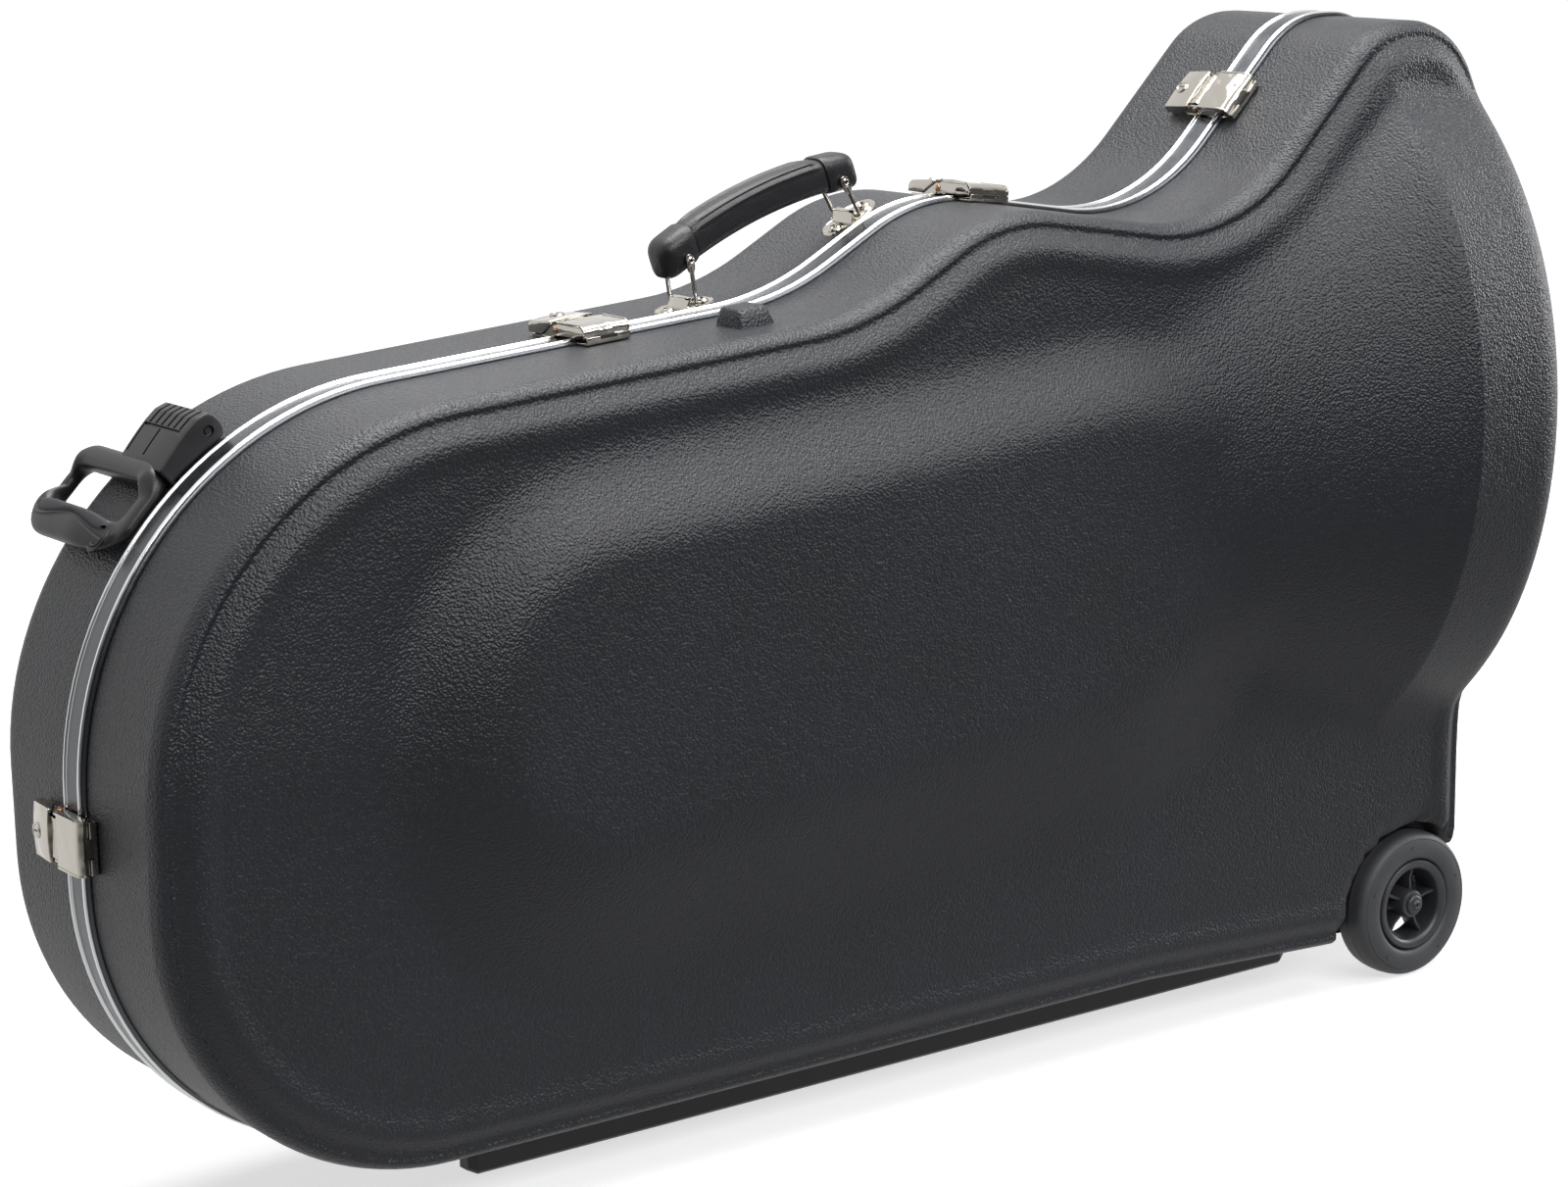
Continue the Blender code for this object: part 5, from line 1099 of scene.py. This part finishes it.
def makeTowLoop(bm):
    # rounded bars round the window, thicker at the grip end
    window = tow["window"]
    inner = ringOutline((window[0], window[1]), (window[2], window[3]), 0.0085, 10, 12)
    outer = ringOutline((tow["loopFrom"], tow["near"]), (tow["loopTo"], tow["loopFar"]), 0.0190, 10, 12)
    rings = []
    for a, b in zip(inner, outer):
        a = Vector(a)
        b = Vector(b)
        # the grip's near corner is cut back
        b.x -= 0.0050 * clamp((b.x - 0.066) / 0.016) * clamp((0.045 - b.y) / 0.030)
        centre = (a + b) / 2
        half = (b - a) / 2
        atGrip = clamp((b.x - 0.058) / 0.016)
        atYoke = clamp((0.046 - b.x) / 0.012)
        top = tow["barTop"] + (gripTop(b.y) - tow["barTop"]) * atGrip
        top += (tow["yokeTop"] - tow["barTop"]) * atYoke
        low = tow["loopUnder"] + 0.0036 * clamp((b.x - 0.074) / 0.008)
        middle = (top + low) / 2
        rise = (top - low) / 2
        ring = []
        for i in range(28):
            t = 2 * math.pi * i / 28
            power = 2 / 2.7
            c = math.copysign(abs(math.cos(t)) ** power, math.cos(t))
            n = math.copysign(abs(math.sin(t)) ** power, math.sin(t))
            ring.append(Vector((centre.x + half.x * c, centre.y + half.y * c, middle + rise * n)))
        rings.append(ring)
    loftRings(bm, rings, loop=True)


def makeTowHandle():
    block = bmesh.new()
    block = makeTowBlock(block)
    tidyFaces(block)
    sliceAlong(block, [-0.006 + 0.003 * k for k in range(14)])
    loop = bmesh.new()
    makeTowLoop(loop)
    # groove that parts the soft pad from the grip's outer shell
    groove = bmesh.new()
    path = [Vector((padEdge(y) + 0.0008, y, gripTop(y) + 0.0002)) for y in (0.0235 + 0.0034 * k for k in range(26))]
    sweepTube(groove, path, 0.0011, 8, Vector((0.0, 0.0, 1.0)))
    tidyFaces(loop)
    tidyFaces(groove)
    loop = cutWith(loop, groove)
    mesh = bpy.data.meshes.new("helper")
    loop.to_mesh(mesh)
    loop.free()
    block.from_mesh(mesh)
    bpy.data.meshes.remove(mesh)
    # two raised arcs at the lower near corner
    for radius in (0.0058, 0.0084):
        arc = [Vector((0.0770 + radius * math.cos(a), 0.0300 - radius * math.sin(a), 0.0118))
               for a in (math.radians(-30 + 10 * k) for k in range(16))]
        sweepTube(block, arc, 0.0008, 8, Vector((0.0, 0.0, 1.0)))
    wrapCorner(block)
    finishPiece(block, "towHandle", "tow_loop", [finish["nylon"]], ["tow_handle"], 38)


def makeTowPad():
    # soft insert on the window side of the grip, a little proud of it
    bm = bmesh.new()
    fine = 26
    levels = ((0.0006, 0.0), (0.0, 0.55), (0.0003, 0.86), (0.0010, 0.97), (0.0022, 1.0))
    rings = []
    for k in range(fine + 1):
        y = 0.0300 + 0.0740 * k / fine
        pinch = math.sqrt(max(0.0, 1.0 - abs(2.0 * k / fine - 1.0) ** 6))
        low = 0.0662
        high = max(padEdge(y) - 0.0004, low + 0.0040)
        middle = (low + high) / 2
        half = (high - low) / 2 * (0.25 + 0.75 * pinch)
        top = gripTop(y) + 0.0007 * pinch
        bottom = 0.0040
        ring = []
        for inset, share in levels:
            ring.append(Vector((middle - half + inset, y, bottom + (top - bottom) * share)))
        for inset, share in reversed(levels):
            ring.append(Vector((middle + half - inset, y, bottom + (top - bottom) * share)))
        rings.append(ring)
    loftRings(bm, rings)
    tidyFaces(bm)
    wrapCorner(bm)
    finishPiece(bm, "towPad", "tow_loop", [finish["softGrip"]], ["tow_pad"], 50)


makeTowHandle()
makeTowPad()
dressNode("tow_bracket", finish["nylon"])
# painted shade: the pin is near-black so that its hole in the knuckle reads as shade
dressNode("tow_pin", finish["dark"])
print("tow handle made")


# Wheels, turned about their own axle: heights are measured from the seam plane

wheel = {
    "x": 0.43925, "z": 0.050, "spokes": 5, "spokeWidth": 0.0021, "spokeTurn": 0.15,
    "tyre": [(0.0312, 0.0735), (0.0335, 0.0716), (0.0400, 0.0703), (0.0460, 0.0710), (0.0486, 0.0732),
             (0.0494, 0.0762), (0.0498, 0.0800), (0.0498, 0.0834), (0.0500, 0.0838), (0.0500, 0.0846),
             (0.0498, 0.0850), (0.0497, 0.0890), (0.0491, 0.0924), (0.0478, 0.0950), (0.0462, 0.0963),
             (0.0454, 0.0966), (0.0450, 0.0963), (0.0446, 0.0968), (0.0420, 0.0976), (0.0380, 0.0980),
             (0.0350, 0.0976), (0.0328, 0.0966), (0.0318, 0.0955), (0.0314, 0.0940)],
    "rim": [(0.0307, 0.0740), (0.0309, 0.0945), (0.0306, 0.0960), (0.0298, 0.0968), (0.0286, 0.0969),
            (0.0268, 0.0964), (0.0252, 0.0954), (0.0245, 0.0942), (0.0242, 0.0920), (0.0244, 0.0745)],
    "hub": [(0.0043, 0.0700), (0.0100, 0.0700), (0.0102, 0.0800), (0.0098, 0.0930), (0.0090, 0.0948),
            (0.0078, 0.0955), (0.0043, 0.0957)],
    "cap": [(0.0, 0.0978), (0.0009, 0.0978), (0.0010, 0.0990), (0.0016, 0.0996), (0.0026, 0.0996), (0.0033, 0.0990),
            (0.0036, 0.0983), (0.0052, 0.0981), (0.0062, 0.0976), (0.0067, 0.0968), (0.0067, 0.0957), (0.0060, 0.0957),
            (0.0058, 0.0968), (0.0, 0.0968)],
}


def makeWheel(word, side):
    place = Matrix.Translation((wheel["x"], 0.0, wheel["z"])) @ Matrix.Rotation(-side * math.radians(90), 4, "X")
    body = f"{word}_wheel"
    bm = bmesh.new()
    spinAt(bm, wheel["tyre"], Matrix.Identity(4), 96, closed=True)
    # moulding pips on the sidewall
    for angle in (20, 95, 160, 232, 305):
        spot = Matrix.Rotation(math.radians(angle), 4, "Z") @ Matrix.Translation((0.0405, 0.0, 0.0974))
        spinAt(bm, [(0.0, 0.0), (0.0014, 0.0), (0.0013, 0.0007), (0.0, 0.0008)], spot, 14)
    tidyFaces(bm)
    transformed(bm, place)
    finishPiece(bm, f"{word}Tyre", body, [finish["rubber"]], [f"{word}_tyre"], 30)
    bm = bmesh.new()
    spinAt(bm, wheel["rim"], Matrix.Identity(4), 96, closed=True)
    spinAt(bm, wheel["hub"], Matrix.Identity(4), 48, closed=True)
    for k in range(wheel["spokes"]):
        turn = Matrix.Rotation(2 * math.pi * (k + wheel["spokeTurn"]) / wheel["spokes"], 4, "Z")
        thick = wheel["spokeWidth"] / 2
        blade = extrudeOutline(bm, [(0.0090, 0.0780), (0.0250, 0.0780), (0.0250, 0.0912), (0.0170, 0.0900), (0.0090, 0.0915)],
                               -thick, thick, "xzy", bevel=0.0004)
        bmesh.ops.transform(bm, matrix=turn, verts=blade)
    tidyFaces(bm)
    transformed(bm, place)
    finishPiece(bm, f"{word}Rim", body, [finish["rim"]], [f"{word}_rim"], 35)
    bm = bmesh.new()
    spinAt(bm, wheel["cap"], Matrix.Identity(4), 36)
    tidyFaces(bm)
    transformed(bm, place)
    finishPiece(bm, f"{word}HubCap", body, [finish["rim"]], [f"{word}_cap"], 35)
    dressNode(f"{word}_axle", finish["zinc"])
    dressNode(f"{word}_bracket", finish["rim"])


makeWheel("back", 1)
makeWheel("front", -1)
print("wheels made")


# Runners, hinges and the moulded lug on the lid

for word in ("back", "front"):
    dressNode(f"{word}_runner", finish["runner"])
    for number in (1, 2):
        dressNode(f"hinge_{number}_{word}_leaf", finish["zinc"])
for number in (1, 2):
    dressNode(f"hinge_{number}_pin", finish["zinc"])

lug = {"x": 0.417, "half": 0.0130, "nearY": -0.0320, "farY": -0.0590}


def makeLug():
    # blunt wedge, moulded with the lid and grained like it
    slope = (Vector(seam["shoulder"]) - Vector((0.0, seam["leftTopZ"]))).normalized()
    normal = Vector((-slope.y, slope.x))
    on = Vector((0.0, seam["leftTopZ"])) + slope * (lug["x"] / slope.x) - normal * seam["proud"]
    place = framed(Vector((left(on.x), 0.0, on.y)), (slope.x, slope.y))
    bm = bmesh.new()
    half = lug["half"]
    near = lug["nearY"]
    far = lug["farY"]
    levels = ((1.0, 0.0, -0.0010), (0.97, 0.0004, 0.0010), (0.88, 0.0018, 0.0056), (0.81, 0.0034, 0.0090),
              (0.74, 0.0046, 0.0102), (0.66, 0.0062, 0.0106))
    rings = []
    for share, back, h in levels:
        w = half * share
        rings.append([Vector((a, b, h)) for a, b in ringOutline((-w, far + back), (w, near - back * 0.7), 0.0032, 5, 4)])
    loftRings(bm, rings)
    tidyFaces(bm)
    transformed(bm, place)
    finishPiece(bm, "lidLug", "lid", [finish["abs"]], (), 60)


makeLug()
print("runners and lug made")


# Lining: two cushions under the horn, and a quilted band round the wall of each shell

lining = {
    # start a little smaller than the finished cushion, and how far the skin may swell
    "shrink": 0.0050, "cap": 0.0055, "voxel": 0.0045, "pressure": 4.0, "frames": 20,
    "pullIn": 0.06, "crown": 0.22, "channelDepth": 0.0028, "channelReach": 0.0032,
    "bandOut": -0.0044, "bandDepth": 0.0056, "bandLow": 0.0115, "bandHigh": 0.0572, "quilt": 0.085,
}


def evaluatedCopy(item):
    graph = bpy.context.evaluated_depsgraph_get()
    result = bmesh.new()
    result.from_mesh(item.evaluated_get(graph).to_mesh())
    return result


def dropHelper(item):
    mesh = item.data
    bpy.data.objects.remove(item, do_unlink=True)
    bpy.data.meshes.remove(mesh)


def inflate(bm):
    # remeshed, then swollen by cloth pressure, with each point's travel capped
    mesh = bpy.data.meshes.new("helper")
    bm.to_mesh(mesh)
    bm.free()
    item = bpy.data.objects.new("helper", mesh)
    bpy.context.scene.collection.objects.link(item)
    voxels = item.modifiers.new("voxels", "REMESH")
    voxels.mode = "VOXEL"
    voxels.voxel_size = lining["voxel"]
    start = evaluatedCopy(item)
    item.modifiers.clear()
    start.to_mesh(item.data)
    cloth = item.modifiers.new("cloth", "CLOTH")
    cloth.settings.quality = 6
    cloth.settings.use_pressure = True
    cloth.settings.uniform_pressure_force = lining["pressure"]
    cloth.settings.effector_weights.gravity = 0.0
    cloth.point_cache.frame_start = 1
    cloth.point_cache.frame_end = lining["frames"]
    for frameNumber in range(1, lining["frames"] + 1):
        bpy.context.scene.frame_set(frameNumber)
    swollen = evaluatedCopy(item)
    swollen.verts.ensure_lookup_table()
    for vert in start.verts:
        step = swollen.verts[vert.index].co - vert.co
        vert.co += step * min(1.0, lining["cap"] / max(step.length, 1e-9))
    swollen.free()
    bpy.context.scene.frame_set(1)
    dropHelper(item)
    return start


def makeCushion(name, node):
    # boxed cushion: crowned toward the horn, flat where it lies on the shell
    low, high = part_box(node)
    middle = (low + high) / 2
    half = (high - low) / 2 - Vector((1.0, 1.0, 1.0)) * lining["shrink"]
    bm = bmesh.new()
    bmesh.ops.create_cube(bm, size=2.0)
    bmesh.ops.subdivide_edges(bm, edges=list(bm.edges), cuts=11, use_grid_fill=True)
    for vert in bm.verts:
        u, v, w = vert.co
        vert.co.x = u * (1.0 - lining["pullIn"] * (1.0 - w * w))
        vert.co.z = w * (1.0 - lining["pullIn"] * (1.0 - u * u))
        if v < 0.0:
            vert.co.y = v * (1.0 - lining["crown"] * max(abs(u), abs(w)) ** 3)
        vert.co = Vector((vert.co.x * half.x, vert.co.y * half.y, vert.co.z * half.z)) + middle
    bm = inflate(bm)
    bmesh.ops.subdivide_edges(bm, edges=list(bm.edges), cuts=1, use_grid_fill=True, smooth=0.6)
    bm.normal_update()
    longX = half.x > half.z
    away = {}
    for vert in bm.verts:
        # a boxing seam all round, and two sewn channels across the crown
        gaps = [abs(vert.co.y - (middle.y - half.y * 0.55))]
        if vert.normal.y < -0.25:
            place = (vert.co.x - middle.x) / half.x if longX else (vert.co.z - middle.z) / half.z
            gaps += [abs(place - line) * max(half.x, half.z) for line in (-0.34, 0.34)]
        away[vert] = sum(math.exp(-(gap / lining["channelReach"]) ** 2) for gap in gaps)
    for vert, share in away.items():
        vert.co -= vert.normal * lining["channelDepth"] * min(share, 1.0)
        for axis in range(3):
            vert.co[axis] = min(high[axis], max(low[axis], vert.co[axis]))
    tidyFaces(bm)
    piece = finishPiece(bm, name, "case", [finish["plush"]], [node], 80)
    round1 = piece.modifiers.new("soften", "SUBSURF")
    round1.levels = round1.render_levels = 1


def makeBand(name, side, body, node):
    # foam band in plush: flat on the wall, crowned inward, sewn through every 85 mm
    bm = bmesh.new()
    rings = []
    walked = 0.0
    before = perimeter[-1][0]
    for sample in perimeter:
        walked += (sample[0] - before).length
        before = sample[0]
        swell = 0.45 + 0.55 * abs(math.sin(math.pi * walked / lining["quilt"])) ** 0.45
        ring = []
        for share in (0.03, 0.5, 0.97):
            y = lining["bandLow"] + (lining["bandHigh"] - lining["bandLow"]) * share
            p = atEdge(sample, lining["bandOut"])
            ring.append(Vector((left(p.x), side * y, p.y)))
        for i in range(10):
            share = 1.0 - i / 9
            crown = max(0.0, 1.0 - abs(2.0 * share - 1.0) ** 3.2) ** 0.5
            y = lining["bandLow"] + (lining["bandHigh"] - lining["bandLow"]) * share
            p = atEdge(sample, lining["bandOut"] - lining["bandDepth"] * (0.16 + 0.84 * crown * swell))
            ring.append(Vector((left(p.x), side * y, p.y)))
        rings.append(ring)
    loftRings(bm, rings, loop=True)
    tidyFaces(bm)
    piece = finishPiece(bm, name, body, [finish["plush"]], [node], 80)


makeCushion("bellCushion", "bell_cushion")
makeCushion("bowCushion", "bow_cushion")
makeBand("backPadding", 1, "case", "back_padding")
makeBand("frontPadding", -1, "lid", "front_padding")
print("lining made")


# Studio: pale floor, white surround, soft lamps, camera at the photograph's place

studio = {
    "floor": "#bfbfc0", "floorGlow": 0.66, "glowFrom": 0.75, "glowTo": 2.2,
    # light that the surround sheds, and how dark the photographer's side is in reflections
    "surround": 0.16, "darkSide": 0.12,
    "lamps": [
        # name, place, aim, width, height, power
        ("keySoftbox", (0.1, -2.4, 1.9), (0.1, 0.0, 0.35), 3.0, 0.8, 56.0),
        ("topSoftbox", (0.3, 0.1, 2.3), (0.1, 0.0, 0.4), 2.6, 1.2, 78.0),
        ("rightSoftbox", (2.6, -0.5, 0.9), (0.3, 0.0, 0.35), 0.8, 1.4, 30.0),
    ],
    "camera": (-1.31455, -1.78727, 0.79188), "lens": 85.0754,
    "yaw": 0.629255, "pitch": 0.213874, "roll": -0.0134747,
}


def rayMask(tree, *kinds):
    # 1 for the named kinds of ray
    path = addNode(tree, "ShaderNodeLightPath")
    mask = path.outputs[kinds[0]]
    for kind in kinds[1:]:
        mask = addNode(tree, "ShaderNodeMath", {"operation": "MAXIMUM"}, {0: mask, 1: path.outputs[kind]}).outputs[0]
    return mask


def makeFloor():
    bm = bmesh.new()
    bmesh.ops.create_grid(bm, x_segments=2, y_segments=2, size=30.0)
    mesh = bpy.data.meshes.new("studioFloor")
    bm.to_mesh(mesh)
    bm.free()
    made = bpy.data.materials.new("paperFloor")
    made.use_nodes = True
    tree = made.node_tree
    tree.nodes.clear()
    paper = addNode(tree, "ShaderNodeBsdfDiffuse", inputs={"Color": asLinear(studio["floor"])})
    # the paper's own white takes over where the lamps' light runs out
    place = addNode(tree, "ShaderNodeTexCoord").outputs["Object"]
    reach = addNode(tree, "ShaderNodeVectorMath", {"operation": "LENGTH"}, {0: place}).outputs["Value"]
    glow = addNode(tree, "ShaderNodeMapRange",
                   inputs={"Value": reach, "From Min": studio["glowFrom"], "From Max": studio["glowTo"],
                           "To Min": studio["floorGlow"], "To Max": 1.0}).outputs[0]
    glow = addNode(tree, "ShaderNodeMath", {"operation": "MULTIPLY"},
                   {0: rayMask(tree, "Is Camera Ray", "Is Transmission Ray"), 1: glow}).outputs[0]
    glow = addNode(tree, "ShaderNodeEmission", inputs={"Color": (1, 1, 1, 1), "Strength": glow})
    both = addNode(tree, "ShaderNodeAddShader", inputs={0: paper.outputs[0], 1: glow.outputs[0]})
    # reflections see the white paper fade toward the photographer's side
    depth = addNode(tree, "ShaderNodeSeparateXYZ", inputs={0: place}).outputs["Y"]
    fade = addNode(tree, "ShaderNodeMapRange", inputs={"Value": depth, "From Min": -1.0, "From Max": 0.4,
                                                       "To Min": studio["darkSide"], "To Max": 0.95}).outputs[0]
    mirrored = addNode(tree, "ShaderNodeEmission", inputs={"Color": (1, 1, 1, 1), "Strength": fade})
    mix = addNode(tree, "ShaderNodeMixShader",
                  inputs={0: rayMask(tree, "Is Glossy Ray"), 1: both.outputs[0], 2: mirrored.outputs[0]})
    addNode(tree, "ShaderNodeOutputMaterial", inputs={"Surface": mix.outputs[0]})
    mesh.materials.append(made)
    floor = bpy.data.objects.new("studioFloor", mesh)
    bpy.context.scene.collection.objects.link(floor)


def makeSurround():
    world = bpy.data.worlds.new("studioSurround")
    world.use_nodes = True
    tree = world.node_tree
    tree.nodes.clear()
    # a dim band low on the photographer's side, for reflections alone
    split = addNode(tree, "ShaderNodeSeparateXYZ", inputs={0: addNode(tree, "ShaderNodeTexCoord").outputs["Generated"]})
    behind = addNode(tree, "ShaderNodeMapRange", inputs={"Value": split.outputs["Y"], "From Min": -0.45, "From Max": 0.25})
    above = addNode(tree, "ShaderNodeMapRange", inputs={"Value": split.outputs["Z"], "From Min": 0.20, "From Max": 0.65})
    lit = addNode(tree, "ShaderNodeMath", {"operation": "MAXIMUM"}, {0: behind.outputs[0], 1: above.outputs[0]})
    lit = addNode(tree, "ShaderNodeMath", {"operation": "MAXIMUM"}, {0: lit.outputs[0], 1: studio["darkSide"]})
    lit = addNode(tree, "ShaderNodeMath", {"operation": "MAXIMUM"}, {0: lit.outputs[0], 1: rayMask(tree, "Is Camera Ray")})
    seen = rayMask(tree, "Is Camera Ray", "Is Glossy Ray", "Is Transmission Ray")
    dim = addNode(tree, "ShaderNodeBackground", inputs={"Color": (1, 1, 1, 1), "Strength": studio["surround"]})
    white = addNode(tree, "ShaderNodeBackground", inputs={"Color": (1, 1, 1, 1), "Strength": lit.outputs[0]})
    mix = addNode(tree, "ShaderNodeMixShader", inputs={0: seen, 1: dim.outputs[0], 2: white.outputs[0]})
    addNode(tree, "ShaderNodeOutputWorld", inputs={"Surface": mix.outputs[0]})
    bpy.context.scene.world = world


def makeLamps():
    for name, place, aim, width, height, power in studio["lamps"]:
        lamp = bpy.data.lights.new(name, "AREA")
        lamp.shape = "RECTANGLE"
        lamp.size = width
        lamp.size_y = height
        lamp.energy = power
        item = bpy.data.objects.new(name, lamp)
        item.visible_camera = False
        item.location = place
        item.rotation_euler = (Vector(aim) - Vector(place)).to_track_quat("-Z", "Y").to_euler()
        bpy.context.scene.collection.objects.link(item)


def makeCamera():
    yaw = studio["yaw"]
    pitch = studio["pitch"]
    roll = studio["roll"]
    ahead = Vector((math.sin(yaw) * math.cos(pitch), math.cos(yaw) * math.cos(pitch), -math.sin(pitch)))
    right = Vector((math.cos(yaw), -math.sin(yaw), 0.0))
    up = right.cross(ahead)
    across = right * math.cos(roll) + up * math.sin(roll)
    upright = -right * math.sin(roll) + up * math.cos(roll)
    lens = bpy.data.cameras.new("photoCamera")
    lens.sensor_fit = "HORIZONTAL"
    lens.sensor_width = 36.0
    lens.lens = studio["lens"]
    lens.clip_start = 0.05
    lens.clip_end = 50.0
    camera = bpy.data.objects.new("photoCamera", lens)
    place = Matrix.Identity(4)
    for k, column in enumerate((across, upright, -ahead, Vector(studio["camera"]))):
        place.col[k] = (*column, 1.0 if k == 3 else 0.0)
    camera.matrix_world = place
    bpy.context.scene.collection.objects.link(camera)
    bpy.context.scene.camera = camera


makeFloor()
makeSurround()
makeLamps()
makeCamera()
bpy.context.scene.view_settings.view_transform = "Standard"
print("studio ready")
